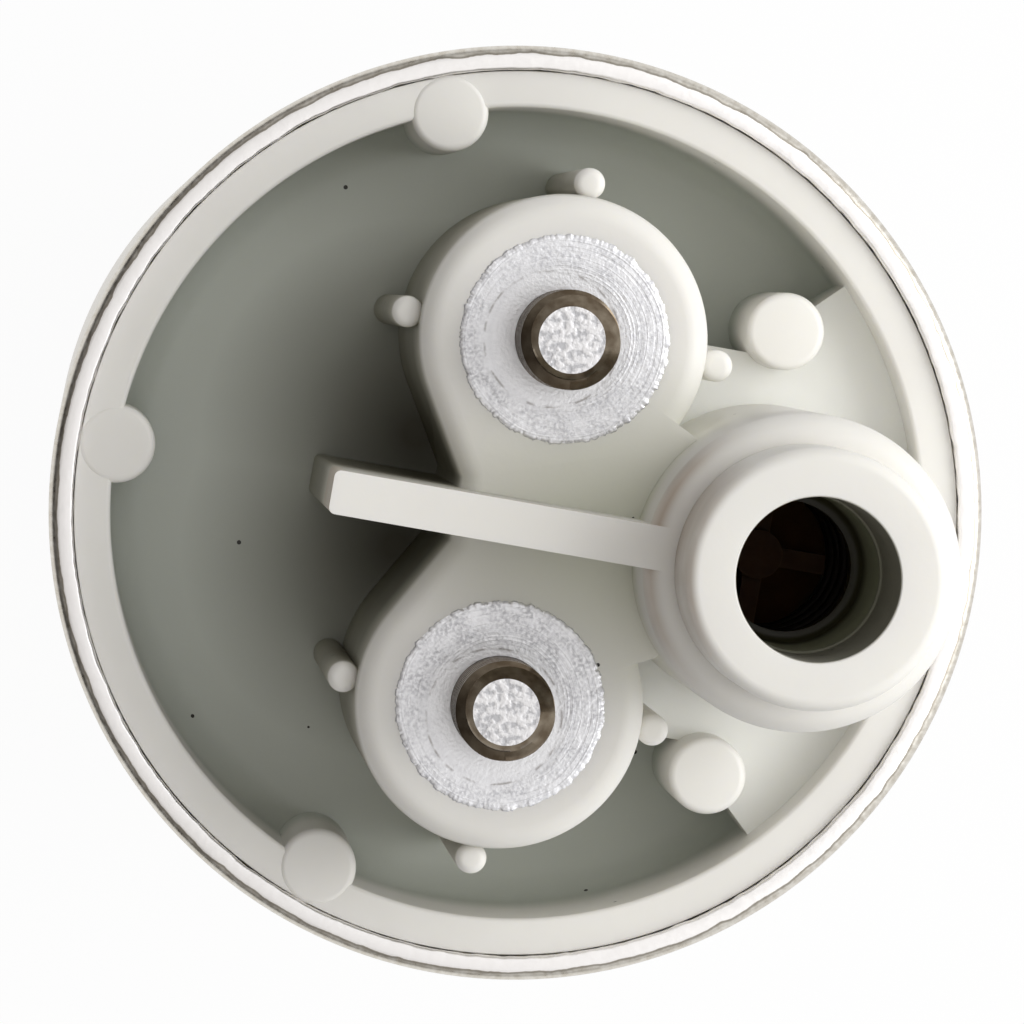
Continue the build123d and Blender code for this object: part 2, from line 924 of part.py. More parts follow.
def ring_recess(inner, outer, low, high, rib_width, rib_count, turn):
    """Annular pocket that keeps a moulding thin, crossed by ribs."""
    pocket = rod(outer, low, high) - rod(inner, low, high)
    for number in range(rib_count):
        rib = block((0, -rib_width / 2, low), (outer + rib_width, rib_width / 2, high))
        pocket -= Rot(0, 0, turn + number * 360 / rib_count) * rib
    return pocket


def port_place():
    """Where the flow channel ends, in X and Y."""
    turn = radians(channel_start + channel_sweep)
    return channel_mean_radius * cos(turn), channel_mean_radius * sin(turn)


def pump_casing():
    """Upper half of the turbine stage: impeller chamber, channel, outlet port and bearing hub."""
    groove_high = casing_top - casing_groove_drop
    port_x, port_y = port_place()
    casing = turned(
        (0, cavity_top),
        (impeller_radius + impeller_tip_gap, cavity_top),
        (impeller_radius + impeller_tip_gap, cover_inner_face),
        (flange_radius, cover_inner_face),
        (flange_radius, groove_high - groove_width),
        (groove_radius, groove_high - groove_width),
        (groove_radius, groove_high),
        (flange_radius, groove_high),
        (flange_radius, casing_top),
        (casing_hub_radius, casing_top),
        (casing_hub_radius, hub_top),
        (0, hub_top),
    )
    casing -= ring_recess(
        casing_recess_inner,
        flange_radius - casing_wall,
        casing_top - casing_recess_depth,
        casing_top,
        casing_rib_width,
        casing_rib_count,
        channel_start,
    )
    casing -= flow_channel(cavity_top)
    casing -= rod(casing_port_radius, cavity_top, casing_top, port_x, port_y)
    casing -= rod(lower_bearing_radius + seat_gap, cavity_top + lower_bearing_floor, hub_top)
    casing -= rod(shaft_radius + slide_gap, cavity_top, hub_top)
    return casing


def impeller():
    """Turbine wheel with vane pockets cut from both faces of its edge."""
    low = cover_inner_face + face_gap
    high = low + impeller_thickness
    wheel = rod(impeller_radius, low, high) - rod(shaft_radius + seat_gap, low, high)
    wheel += block(
        (shaft_radius - shaft_flat + seat_gap, -shaft_radius / 2, low),
        (shaft_radius + 2 * seat_gap, shaft_radius / 2, high),
    )
    pocket_depth = (impeller_thickness - vane_web) / 2
    mean_radius = impeller_radius - vane_length / 2
    pocket_width = 2 * mean_radius * sin(radians(180 / vane_count)) - vane_thickness
    pockets = []
    for bottom, top in ((low, low + pocket_depth), (high - pocket_depth, high)):
        pocket = block(
            (impeller_radius - vane_length, -pocket_width / 2, bottom),
            (impeller_radius + vane_length, pocket_width / 2, top),
        )
        for number in range(vane_count):
            pockets.append(Rot(0, 0, number * 360 / vane_count) * pocket)
    for number in range(balance_hole_count):
        hole = rod(balance_hole_radius, low, high, balance_hole_offset)
        pockets.append(Rot(0, 0, number * 360 / balance_hole_count) * hole)
    return wheel - pockets


def thrust_pad():
    """Hard disc in the cover that the shaft's lower end turns on."""
    high = shaft_bottom - face_gap
    return rod(thrust_pad_radius, high - thrust_pad_thickness, high)


def relief_place():
    """Where the relief valve stands on the cover, in X and Y."""
    turn = radians(channel_start + channel_sweep)
    return relief_offset * cos(turn), relief_offset * sin(turn)


def relief_levels():
    """Heights of the relief valve: its seat edge, its ball's centre, its plug and its mouth."""
    seat = cover_inner_face - channel_radius - relief_hole_length
    drop = (relief_ball_radius**2 - relief_hole_radius**2) ** 0.5
    mouth = -ring_top - relief_tower_length
    return seat, seat - drop - face_gap, mouth + relief_plug_length, mouth


def pump_cover():
    """Lower half of the turbine stage: channel, inlet nipple and relief valve tower."""
    outer_face = -ring_top
    cover = turned(
        (0, cover_inner_face),
        (flange_radius, cover_inner_face),
        (flange_radius, outer_face + rim_slope + rim_sink),
        (rim_radius, outer_face + rim_sink),
        (rim_radius, outer_face, rim_round),
        (0, outer_face),
    )
    cover -= ring_recess(
        cover_recess_inner,
        rim_radius - cover_rim_width,
        outer_face,
        outer_face + cover_recess_depth,
        cover_rib_width,
        cover_rib_count,
        0,
    )
    nipple_end = outer_face - nipple_length
    collar_radius = nipple_radius + nipple_collar
    cover += rod(collar_radius, outer_face, outer_face + cover_recess_depth, -nipple_offset)
    cover += Pos(-nipple_offset, 0) * turned(
        (0, cover_inner_face - channel_radius),
        (nipple_radius, cover_inner_face - channel_radius),
        (nipple_radius, nipple_end + nipple_chamfer),
        (nipple_radius - nipple_chamfer, nipple_end),
        (0, nipple_end),
    )
    relief_x, relief_y = relief_place()
    seat, ball_centre, plug_top, mouth = relief_levels()
    cover += rod(relief_tower_radius, mouth, cover_inner_face - channel_radius, relief_x, relief_y)
    cover -= flow_channel(cover_inner_face)
    cover -= rod(nipple_bore_radius, nipple_end, cover_inner_face - channel_radius, -nipple_offset)
    port_x = -channel_mean_radius + inlet_port_inset
    cover -= rod(inlet_port_radius, outer_face, cover_inner_face, port_x)
    cover -= rod(relief_hole_radius, seat, cover_inner_face, relief_x, relief_y)
    cover -= rod(relief_bore_radius, mouth, seat, relief_x, relief_y)
    pad_bottom = shaft_bottom - face_gap - thrust_pad_thickness
    cover -= rod(thrust_pad_radius + seat_gap, pad_bottom, cover_inner_face)
    return cover


def relief_ball():
    """Steel ball that closes the relief hole from outside the pump."""
    relief_x, relief_y = relief_place()
    seat, ball_centre, plug_top, mouth = relief_levels()
    return Pos(relief_x, relief_y, ball_centre) * Sphere(relief_ball_radius)


def relief_spring():
    """Spring that holds the relief ball up against its seat."""
    relief_x, relief_y = relief_place()
    seat, ball_centre, plug_top, mouth = relief_levels()
    rest = relief_spring_radius - relief_spring_wire
    high = ball_centre - (relief_ball_radius**2 - rest**2) ** 0.5
    spring = coil_spring(
        relief_spring_radius, relief_spring_wire, plug_top + face_gap, high, relief_spring_turns
    )
    return Pos(relief_x, relief_y) * spring


def relief_plug():
    """Ring pressed in the mouth of the relief tower, which carries the spring."""
    relief_x, relief_y = relief_place()
    seat, ball_centre, plug_top, mouth = relief_levels()
    plug = rod(relief_bore_radius - seat_gap, mouth, plug_top)
    return Pos(relief_x, relief_y) * (plug - rod(relief_plug_hole, mouth, plug_top))


# The whole pump, one solid or group of like solids for each name

pieces = {
    "housing_tube": housing_tube(),
    "end_cap": end_cap(),
    "cap_seal": seal_ring(cap_groove_low),
    "casing_seal": seal_ring(casing_top - casing_groove_drop - groove_width),
    "upper_bearing": upper_bearing(),
    "lower_bearing": lower_bearing(),
    "outlet_valve_seat": outlet_valve_seat(),
    "outlet_valve_poppet": outlet_valve_poppet(),
    "outlet_valve_spring": outlet_valve_spring(),
    "shaft": shaft(),
    "upper_spacer": upper_spacer(),
    "lower_spacer": lower_spacer(),
    "armature_core": armature_core(),
    "armature_winding": armature_winding(),
    "commutator_base": commutator_base(),
    "commutator_segments": commutator_segments(),
    "impeller": impeller(),
    "pump_casing": pump_casing(),
    "pump_cover": pump_cover(),
    "thrust_pad": thrust_pad(),
    "relief_ball": relief_ball(),
    "relief_spring": relief_spring(),
    "relief_plug": relief_plug(),
}
brush_spring = coil_spring(
    brush_spring_radius, brush_spring_wire, brush_top + face_gap, floor_bottom - face_gap, brush_spring_turns
)
for times, letter in enumerate("ab"):
    pieces[f"terminal_bush_{letter}"] = half_turn(Pos(0, boss_offset) * terminal_bush(), times)
    pieces[f"terminal_stud_{letter}"] = half_turn(Pos(0, boss_offset) * terminal_stud(), times)
    pieces[f"terminal_tag_{letter}"] = half_turn(terminal_tag(), times)
    pieces[f"choke_core_{letter}"] = half_turn(choke_core(), times)
    pieces[f"choke_coil_{letter}"] = half_turn(choke_coil(), times)
    pieces[f"brush_{letter}"] = at_brush(brush(), times)
    pieces[f"brush_spring_{letter}"] = at_brush(brush_spring, times)
    pieces[f"brush_lead_{letter}"] = half_turn(brush_lead(), times)
    pieces[f"magnet_{letter}"] = magnet(times)
    pieces[f"magnet_clip_{letter}"] = magnet_clip(times)

os.makedirs("parts", exist_ok=True)
for name, solid in pieces.items():
    export_step(solid, f"parts/{name}.step")
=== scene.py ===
from math import acos, atan2, ceil, cos, hypot, pi, radians, sin, tan

import bmesh
import bpy
from mathutils import Matrix, Vector, noise


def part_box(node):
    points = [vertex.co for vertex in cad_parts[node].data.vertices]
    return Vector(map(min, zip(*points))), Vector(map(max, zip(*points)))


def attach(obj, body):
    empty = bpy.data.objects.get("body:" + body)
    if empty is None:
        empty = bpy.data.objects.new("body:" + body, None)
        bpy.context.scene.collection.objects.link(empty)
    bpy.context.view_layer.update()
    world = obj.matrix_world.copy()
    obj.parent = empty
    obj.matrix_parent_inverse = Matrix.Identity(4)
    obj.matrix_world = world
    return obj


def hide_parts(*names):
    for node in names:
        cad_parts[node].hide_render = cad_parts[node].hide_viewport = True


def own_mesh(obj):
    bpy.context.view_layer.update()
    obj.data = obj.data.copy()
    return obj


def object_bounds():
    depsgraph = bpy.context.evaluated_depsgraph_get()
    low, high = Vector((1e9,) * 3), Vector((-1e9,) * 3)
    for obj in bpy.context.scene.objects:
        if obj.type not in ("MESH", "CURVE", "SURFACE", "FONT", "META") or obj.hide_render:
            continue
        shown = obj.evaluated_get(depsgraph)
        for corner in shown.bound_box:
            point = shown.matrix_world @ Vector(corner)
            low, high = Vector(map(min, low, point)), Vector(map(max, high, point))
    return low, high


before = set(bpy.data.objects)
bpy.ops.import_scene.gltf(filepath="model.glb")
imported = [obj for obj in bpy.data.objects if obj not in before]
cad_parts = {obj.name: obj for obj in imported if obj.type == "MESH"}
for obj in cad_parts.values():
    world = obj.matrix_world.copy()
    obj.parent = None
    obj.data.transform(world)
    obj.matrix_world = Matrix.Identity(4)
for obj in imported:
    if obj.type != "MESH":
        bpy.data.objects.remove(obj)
cad_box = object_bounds()


# Housing tube.
# Drawn steel tube, 38 mm across, zinc plated. Both ends are thinned and rolled in over the end
# pieces, which leaves a bright, slightly torn lip round the plastic rim.

mm = 0.001
housing_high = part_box("housing_tube")[1]
housing_radius = housing_high.x
housing_top = housing_high.z
housing_bore = 17.0 * mm
end_bore = 18.2 * mm
lip_radius = 18.02 * mm
top_shoulder = 27.2 * mm
bottom_shoulder = -26.0 * mm
lip_flat = 0.6 * mm
lip_depth = 1.4 * mm
lip_round = 0.45 * mm
lip_inner_round = 0.12 * mm
lip_tear = 0.05 * mm
tear_scale = 1100
housing_segments = 720


def outline_points(corners, steps):
    """A closed outline from (across, along, rounding) corners, with an arc at each rounding."""
    points = []
    for number, corner in enumerate(corners):
        here = Vector(corner[:2])
        rounding = corner[2] if len(corner) == 3 else 0
        if rounding == 0:
            points.append(here)
            continue
        back = Vector(corners[number - 1][:2]) - here
        ahead = Vector(corners[(number + 1) % len(corners)][:2]) - here
        half = back.angle(ahead) / 2
        setback = rounding / tan(half)
        start = here + back.normalized() * setback
        end = here + ahead.normalized() * setback
        middle = here + (back.normalized() + ahead.normalized()).normalized() * rounding / sin(half)
        first = atan2(start.y - middle.y, start.x - middle.x)
        sweep = atan2(end.y - middle.y, end.x - middle.x) - first
        sweep = (sweep + pi) % (2 * pi) - pi
        for step in range(steps + 1):
            turn = first + sweep * step / steps
            points.append(middle + Vector((cos(turn), sin(turn))) * rounding)
    return points


def new_piece(name, shape, sharp_angle=32):
    """Turns a bmesh into an object with smooth faces and sharp edges."""
    bmesh.ops.recalc_face_normals(shape, faces=shape.faces)
    mesh = bpy.data.meshes.new(name)
    shape.to_mesh(mesh)
    shape.free()
    mesh.polygons.foreach_set("use_smooth", [True] * len(mesh.polygons))
    mesh.set_sharp_from_angle(angle=radians(sharp_angle))
    piece = bpy.data.objects.new(name, mesh)
    bpy.context.scene.collection.objects.link(piece)
    return piece


def turned_shape(corners, segments=240, steps=5, x=0.0, y=0.0):
    """A closed outline of radius and height, turned about an upright line through (x, y)."""
    outline = outline_points(corners, steps)
    shape = bmesh.new()
    rings = []
    for number in range(segments):
        turn = 2 * pi * number / segments
        rings.append([shape.verts.new((x + p.x * cos(turn), y + p.x * sin(turn), p.y)) for p in outline])
    for ring, following in zip(rings, rings[1:] + rings[:1]):
        for k in range(len(outline)):
            m = (k + 1) % len(outline)
            shape.faces.new((ring[k], following[k], following[m], ring[m]))
    bmesh.ops.remove_doubles(shape, verts=shape.verts, dist=1e-8)
    return shape


shape = turned_shape(
    [
        (housing_radius, housing_top, lip_round),
        (lip_radius, housing_top, lip_inner_round),
        (lip_radius, housing_top - lip_flat),
        (end_bore, housing_top - lip_depth),
        (end_bore, top_shoulder),
        (housing_bore, top_shoulder),
        (housing_bore, bottom_shoulder),
        (end_bore, bottom_shoulder),
        (end_bore, -housing_top + lip_depth),
        (lip_radius, -housing_top + lip_flat),
        (lip_radius, -housing_top, lip_inner_round),
        (housing_radius, -housing_top, lip_round),
    ],
    housing_segments,
)
tear_reach = lip_radius + 1.5 * lip_inner_round
for vertex in shape.verts:
    across = hypot(vertex.co.x, vertex.co.y)
    if abs(vertex.co.z) > housing_top - 1.05 * lip_flat and across < tear_reach:
        tear = noise.noise(vertex.co * tear_scale) + 0.6 * noise.noise(vertex.co * 3 * tear_scale)
        vertex.co.xy *= 1 + lip_tear * tear / across
housing = new_piece("housing_shell", shape)
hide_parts("housing_tube")
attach(housing, "housing")


def new_material(name):
    """A node material, as its node tree and its shader."""
    material = bpy.data.materials.new(name)
    material.use_nodes = True
    shader = material.node_tree.nodes["Principled BSDF"]
    return material, material.node_tree, shader


def dress(piece, material):
    """Gives a piece its material."""
    piece.data.materials.clear()
    piece.data.materials.append(material)


def set_inputs(node, tree, inputs):
    """Sets a node's inputs by name, or feeds them from another socket."""
    for name, value in inputs.items():
        socket = node.inputs[name]
        if isinstance(value, bpy.types.NodeSocket):
            tree.links.new(value, socket)
        else:
            socket.default_value = value


def add_node(tree, kind, inputs=None, **settings):
    """A node of that kind with its settings and its inputs."""
    node = tree.nodes.new(kind)
    for name, value in settings.items():
        setattr(node, name, value)
    set_inputs(node, tree, inputs or {})
    return node


def calculate(tree, operation, *values):
    """One sum on numbers or sockets."""
    node = add_node(tree, "ShaderNodeMath", operation=operation)
    for socket, value in zip(node.inputs, values):
        if isinstance(value, bpy.types.NodeSocket):
            tree.links.new(value, socket)
        else:
            socket.default_value = value
    return node.outputs[0]


def remap(tree, value, low, high, to_low=0.0, to_high=1.0):
    """The value with one range stretched over another, held at both ends."""
    sockets = {"Value": value, "From Min": low, "From Max": high, "To Min": to_low, "To Max": to_high}
    return add_node(tree, "ShaderNodeMapRange", sockets).outputs["Result"]


def tint(tree, share, under, over):
    """Colour over colour, by a share."""
    node = add_node(tree, "ShaderNodeMix", data_type="RGBA")
    for index, value in ((0, share), (6, under), (7, over)):
        if isinstance(value, bpy.types.NodeSocket):
            tree.links.new(value, node.inputs[index])
        else:
            node.inputs[index].default_value = value
    return node.outputs[2]


def effect(name, inputs, outputs):
    """An empty shader node group with number inputs and outputs."""
    group = bpy.data.node_groups.new(name, "ShaderNodeTree")
    for label, value in inputs.items():
        socket = group.interface.new_socket(label, in_out="INPUT", socket_type="NodeSocketFloat")
        socket.default_value = value
    for label in outputs:
        group.interface.new_socket(label, in_out="OUTPUT", socket_type="NodeSocketFloat")
    start = group.nodes.new("NodeGroupInput")
    end = group.nodes.new("NodeGroupOutput")
    return group, start.outputs, end.inputs


def use_effect(tree, group, **inputs):
    """An effect placed in a material with its own values."""
    node = tree.nodes.new("ShaderNodeGroup")
    node.node_tree = group
    set_inputs(node, tree, inputs)
    return node.outputs


# Fine grain: a close texture for relief, and a broad cloud for tone.
grain, given, wanted = effect("fine_grain", {"Scale": 3000.0, "Spread": 12.0}, ("Relief", "Cloud"))
place = add_node(grain, "ShaderNodeTexCoord").outputs["Object"]
close = add_node(grain, "ShaderNodeTexNoise", {"Vector": place, "Scale": given["Scale"], "Detail": 4.0})
broad_scale = calculate(grain, "DIVIDE", given["Scale"], given["Spread"])
broad = add_node(grain, "ShaderNodeTexNoise", {"Vector": place, "Scale": broad_scale, "Detail": 3.0})
grain.links.new(close.outputs["Fac"], wanted["Relief"])
grain.links.new(broad.outputs["Fac"], wanted["Cloud"])

# Drawn lines: scratches along the tube, from the drawing die.
drawn, given, wanted = effect("drawn_lines", {"Scale": 4000.0, "Stretch": 60.0}, ("Lines",))
place = add_node(drawn, "ShaderNodeTexCoord").outputs["Object"]
along = calculate(drawn, "DIVIDE", 1.0, given["Stretch"])
squeeze = add_node(drawn, "ShaderNodeCombineXYZ", {"X": 1.0, "Y": 1.0, "Z": along}).outputs[0]
squeezed = add_node(drawn, "ShaderNodeVectorMath", operation="MULTIPLY")
drawn.links.new(place, squeezed.inputs[0])
drawn.links.new(squeeze, squeezed.inputs[1])
lines = add_node(
    drawn, "ShaderNodeTexNoise", {"Vector": squeezed.outputs[0], "Scale": given["Scale"], "Detail": 5.0}
)
drawn.links.new(lines.outputs["Fac"], wanted["Lines"])

# Worn edges: a mask that is strong where a surface bends within the given reach.
edges, given, wanted = effect("worn_edges", {"Reach": 0.0002, "Gain": 3.0}, ("Mask",))
eased = add_node(edges, "ShaderNodeBevel", {"Radius": given["Reach"]}, samples=4).outputs["Normal"]
true_normal = add_node(edges, "ShaderNodeNewGeometry").outputs["Normal"]
match = add_node(edges, "ShaderNodeVectorMath", operation="DOT_PRODUCT")
edges.links.new(eased, match.inputs[0])
edges.links.new(true_normal, match.inputs[1])
bend = calculate(edges, "SUBTRACT", 1.0, match.outputs["Value"])
mask = add_node(edges, "ShaderNodeMath", operation="MULTIPLY", use_clamp=True)
edges.links.new(bend, mask.inputs[0])
edges.links.new(given["Gain"], mask.inputs[1])
edges.links.new(mask.outputs[0], wanted["Mask"])


def relief(tree, shader, height, depth):
    """Small relief on a surface, as deep as given in metres."""
    bump = add_node(tree, "ShaderNodeBump", {"Height": height, "Distance": depth, "Strength": 1.0})
    tree.links.new(bump.outputs["Normal"], shader.inputs["Normal"])


steel, tree, shader = new_material("housing_steel")
zinc_light = (0.78, 0.75, 0.69, 1)
zinc_dark = (0.60, 0.56, 0.49, 1)
lip_bright = (0.97, 0.95, 0.94, 1)
fold_shade_dark = (0.16, 0.14, 0.11, 1)
burnish_radius = 18.62 * mm
place = add_node(tree, "ShaderNodeTexCoord").outputs["Object"]
flat = add_node(tree, "ShaderNodeVectorMath", operation="MULTIPLY")
tree.links.new(place, flat.inputs[0])
flat.inputs[1].default_value = (1, 1, 0)
across = add_node(tree, "ShaderNodeVectorMath", operation="LENGTH")
tree.links.new(flat.outputs[0], across.inputs[0])
height = add_node(tree, "ShaderNodeSeparateXYZ", {"Vector": place}).outputs["Z"]
end = remap(tree, calculate(tree, "ABSOLUTE", height), housing_top - 0.7 * mm, housing_top - 0.3 * mm)
texture = use_effect(tree, grain, Scale=2500.0, Spread=3.0)
scratches = use_effect(tree, drawn, Scale=3500.0, Stretch=80.0)
# The rolled-in edge is burnished white, up to a ragged fold where the plating starts; along the fold runs a
# dark line of painted shade.
ragged = calculate(tree, "MULTIPLY_ADD", texture["Cloud"], 0.0003, -0.00015)
reach = calculate(tree, "ADD", across.outputs["Value"], ragged)
burnished = calculate(tree, "MULTIPLY", remap(tree, reach, burnish_radius + 0.03 * mm, burnish_radius), end)
fold_low = remap(tree, reach, burnish_radius - 0.01 * mm, burnish_radius + 0.04 * mm)
fold_high = remap(tree, reach, burnish_radius + 0.14 * mm, burnish_radius + 0.07 * mm)
fold_shade = calculate(tree, "MULTIPLY", calculate(tree, "MULTIPLY", fold_low, fold_high), end)
colour = tint(tree, remap(tree, scratches["Lines"], 0.35, 0.65), zinc_dark, zinc_light)
colour = tint(tree, calculate(tree, "MULTIPLY", fold_shade, 0.7), colour, fold_shade_dark)
colour = tint(tree, burnished, colour, lip_bright)
shader.inputs["Metallic"].default_value = 1.0
tree.links.new(colour, shader.inputs["Base Color"])
drawn_rough = remap(tree, scratches["Lines"], 0.3, 0.7, 0.26, 0.4)
tree.links.new(calculate(tree, "MULTIPLY_ADD", burnished, 0.1, drawn_rough), shader.inputs["Roughness"])
surface = tint(tree, end, scratches["Lines"], calculate(tree, "MULTIPLY", texture["Relief"], 2.0))
relief(tree, shader, surface, 0.004 * mm)
dress(housing, steel)


# End cap.
# One acetal moulding, natural off-white, that closes the outlet end: rim and deep recess, two
# terminal bosses in a waisted island, the partition rib, the outlet tower and locating pegs.

ring_top = 41.6 * mm
floor_top = 33.0 * mm
floor_bottom = 30.4 * mm
flange_radius = 18.15 * mm
rim_radius = 17.98 * mm
recess_radius = 16.5 * mm
recess_round = 1.4 * mm
skirt_radius = 16.95 * mm
skirt_inner = 15.4 * mm
skirt_end = 22.0 * mm
boss_radius = 5.7 * mm
boss_offset = 7.3 * mm
boss_top = 51.7 * mm
boss_round = 0.9 * mm
waist_half = 1.25 * mm
waist_reach = 3.07 * mm
notch_x = 5.67 * mm
notch_y = 4.43 * mm
nub_radius = 0.63 * mm
nub_stand = 0.5 * mm
nub_top = boss_top - 1.2 * mm
half_rib = 0.85 * mm
rib_left = -8.2 * mm
rib_right = 6.0 * mm
outlet_x = 10.25 * mm
tower_radius = 6.17 * mm
tower_top = 57.8 * mm
tower_round = 0.8 * mm
spigot_radius = 5.0 * mm
spigot_top = 63.4 * mm
spigot_round = 0.5 * mm
mouth_radius = 3.13 * mm
bore_radius = 3.05 * mm
mouth_low = 56.8 * mm
throat_radius = 2.6 * mm
throat_top = 50.5 * mm
chamber_top = 49.5 * mm
chamber_radius = 4.0 * mm
bush_seat_radius = 4.08 * mm
bush_bottom = 46.7 * mm
platform_half = 8.1 * mm
platform_top = ring_top - 3.0 * mm
platform_spread = radians(44)
peg_radius = 1.58 * mm
peg_top = ring_top + 0.06 * mm
root = floor_top - mm


def stacked_shape(layers):
    """A solid from outlines with the same number of points, each at its height."""
    shape = bmesh.new()
    rings = [[shape.verts.new((p[0], p[1], height)) for p in outline] for outline, height in layers]
    shape.faces.new(rings[0][::-1])
    shape.faces.new(rings[-1])
    for lower, upper in zip(rings, rings[1:]):
        for k in range(len(lower)):
            m = (k + 1) % len(lower)
            shape.faces.new((lower[k], lower[m], upper[m], upper[k]))
    return shape


def plate_shape(outline, low, high):
    """A flat plate between two heights, from its outline."""
    return stacked_shape([(outline, low), (outline, high)])


def combine(piece, others, operation):
    """Joins other pieces to this one, or cuts them from it, and takes them away."""
    group = bpy.data.collections.new("parts_of_" + piece.name)
    bpy.context.scene.collection.children.link(group)
    for other in others:
        bpy.context.scene.collection.objects.unlink(other)
        group.objects.link(other)
    step = piece.modifiers.new(operation, "BOOLEAN")
    step.operation = operation
    step.solver = "EXACT"
    step.operand_type = "COLLECTION"
    step.collection = group
    bpy.context.view_layer.update()
    evaluated = piece.evaluated_get(bpy.context.evaluated_depsgraph_get())
    mesh = bpy.data.meshes.new_from_object(evaluated)
    piece.modifiers.clear()
    old = piece.data
    piece.data = mesh
    bpy.data.meshes.remove(old)
    for other in others:
        bpy.data.objects.remove(other)
    bpy.data.collections.remove(group)


def round_bar(name, radius, low, high, x=0.0, y=0.0, rounding=0.0, segments=96, steps=5):
    """An upright round bar, rounded at its top."""
    corners = [(0, low), (radius, low), (radius, high, rounding), (0, high)]
    return new_piece(name, turned_shape(corners, segments, steps, x, y))


cap = new_piece(
    "cap_moulding",
    turned_shape(
        [
            (0, floor_bottom),
            (skirt_inner, floor_bottom),
            (skirt_inner, skirt_end),
            (skirt_radius, skirt_end),
            (skirt_radius, top_shoulder),
            (flange_radius, top_shoulder),
            (flange_radius, ring_top - 1.3 * mm),
            (rim_radius, ring_top - 0.4 * mm),
            (rim_radius, ring_top, 0.06 * mm),
            (recess_radius, ring_top, 0.2 * mm),
            (recess_radius, floor_top, recess_round),
            (0, floor_top),
        ],
        segments=360,
        steps=8,
    ),
)
added = []
waist_y = boss_offset - waist_half
direction = atan2(-waist_y, -waist_reach) - acos(boss_radius / hypot(waist_reach, waist_y))
out_x, out_y = cos(direction), sin(direction)


def web_outline(inset):
    """The web between the bosses, its left edges drawn in by an inset."""
    waist_x = inset - waist_reach
    reach = boss_radius - inset
    upper_half = [
        (waist_x, (reach + boss_offset * out_y - waist_x * out_x) / out_y),
        (reach * out_x, boss_offset + reach * out_y),
        (0, boss_offset),
        (notch_x, notch_y),
        (outlet_x, 0),
    ]
    return upper_half + [(x, -y) for x, y in reversed(upper_half[:-1])]


layers = [(web_outline(0), root)]
for step in range(7):
    bend = radians(90 * step / 6)
    inset, drop = boss_round * (1 - cos(bend)), boss_round * (1 - sin(bend))
    layers.append((web_outline(inset), boss_top - drop))
added.append(new_piece("web", stacked_shape(layers)))
rib_outline = outline_points(
    [
        (rib_left, -half_rib, 0.25 * mm),
        (rib_right, -half_rib),
        (rib_right, half_rib),
        (rib_left, half_rib, 0.25 * mm),
    ],
    5,
)
added.append(new_piece("rib", plate_shape(rib_outline, root, tower_top)))
tower_corners = [
    (0, root),
    (tower_radius, root),
    (tower_radius, tower_top, tower_round),
    (spigot_radius, tower_top),
    (spigot_radius, spigot_top, spigot_round),
    (0, spigot_top),
]
added.append(new_piece("tower", turned_shape(tower_corners, 192, 7, outlet_x)))
for side in (1, -1):
    y = side * boss_offset
    added.append(round_bar(f"boss{side}", boss_radius, root, boss_top, 0, y, boss_round, 192, 6))
    for angle in (0, 90 * side, 180):
        reach = boss_radius + nub_stand
        nub_x = reach * cos(radians(angle))
        nub_y = y + reach * sin(radians(angle))
        added.append(
            round_bar(f"nub{side}{angle}", nub_radius, root, nub_top, nub_x, nub_y, 0.35 * mm, 48)
        )
corner_x = platform_half / tan(platform_spread)
far = recess_radius + 0.3 * mm
arc = [
    (far * cos(platform_spread * (1 - k / 20)), far * sin(platform_spread * (1 - k / 20))) for k in range(41)
]
wedge = (
    [(0, platform_half), (0, -platform_half), (corner_x, -platform_half)]
    + arc[::-1]
    + [(corner_x, platform_half)]
)
added.append(new_piece("platform", plate_shape(wedge, root, platform_top)))
for angle, reach in ((109.5, 16.5), (180, 16.5), (250.5, 16.5), (44, 13.23), (-44, 13.23)):
    peg_x = reach * mm * cos(radians(angle))
    peg_y = reach * mm * sin(radians(angle))
    added.append(round_bar(f"peg{angle}", peg_radius, root, peg_top, peg_x, peg_y, 0.3 * mm))
combine(cap, added, "UNION")

removed = [
    new_piece(
        "passage",
        turned_shape(
            [
                (0, floor_bottom - mm),
                (chamber_radius, floor_bottom - mm),
                (chamber_radius, chamber_top),
                (throat_radius, chamber_top),
                (throat_radius, throat_top),
                (bore_radius, throat_top, 0.3 * mm),
                (bore_radius, mouth_low),
                (mouth_radius, mouth_low + 0.08 * mm),
                (mouth_radius, spigot_top - 0.06 * mm),
                (mouth_radius + 0.06 * mm, spigot_top),
                (mouth_radius + 0.06 * mm, spigot_top + mm),
                (0, spigot_top + mm),
            ],
            144,
            5,
            outlet_x,
        ),
    )
]
for side in (1, -1):
    removed.append(
        round_bar(
            f"bush_seat{side}",
            bush_seat_radius,
            bush_bottom,
            boss_top + mm,
            0,
            side * boss_offset,
            segments=144,
        )
    )
combine(cap, removed, "DIFFERENCE")
cap.data.polygons.foreach_set("use_smooth", [True] * len(cap.data.polygons))
cap.data.set_sharp_from_angle(angle=radians(32))
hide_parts("end_cap")
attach(cap, "housing")

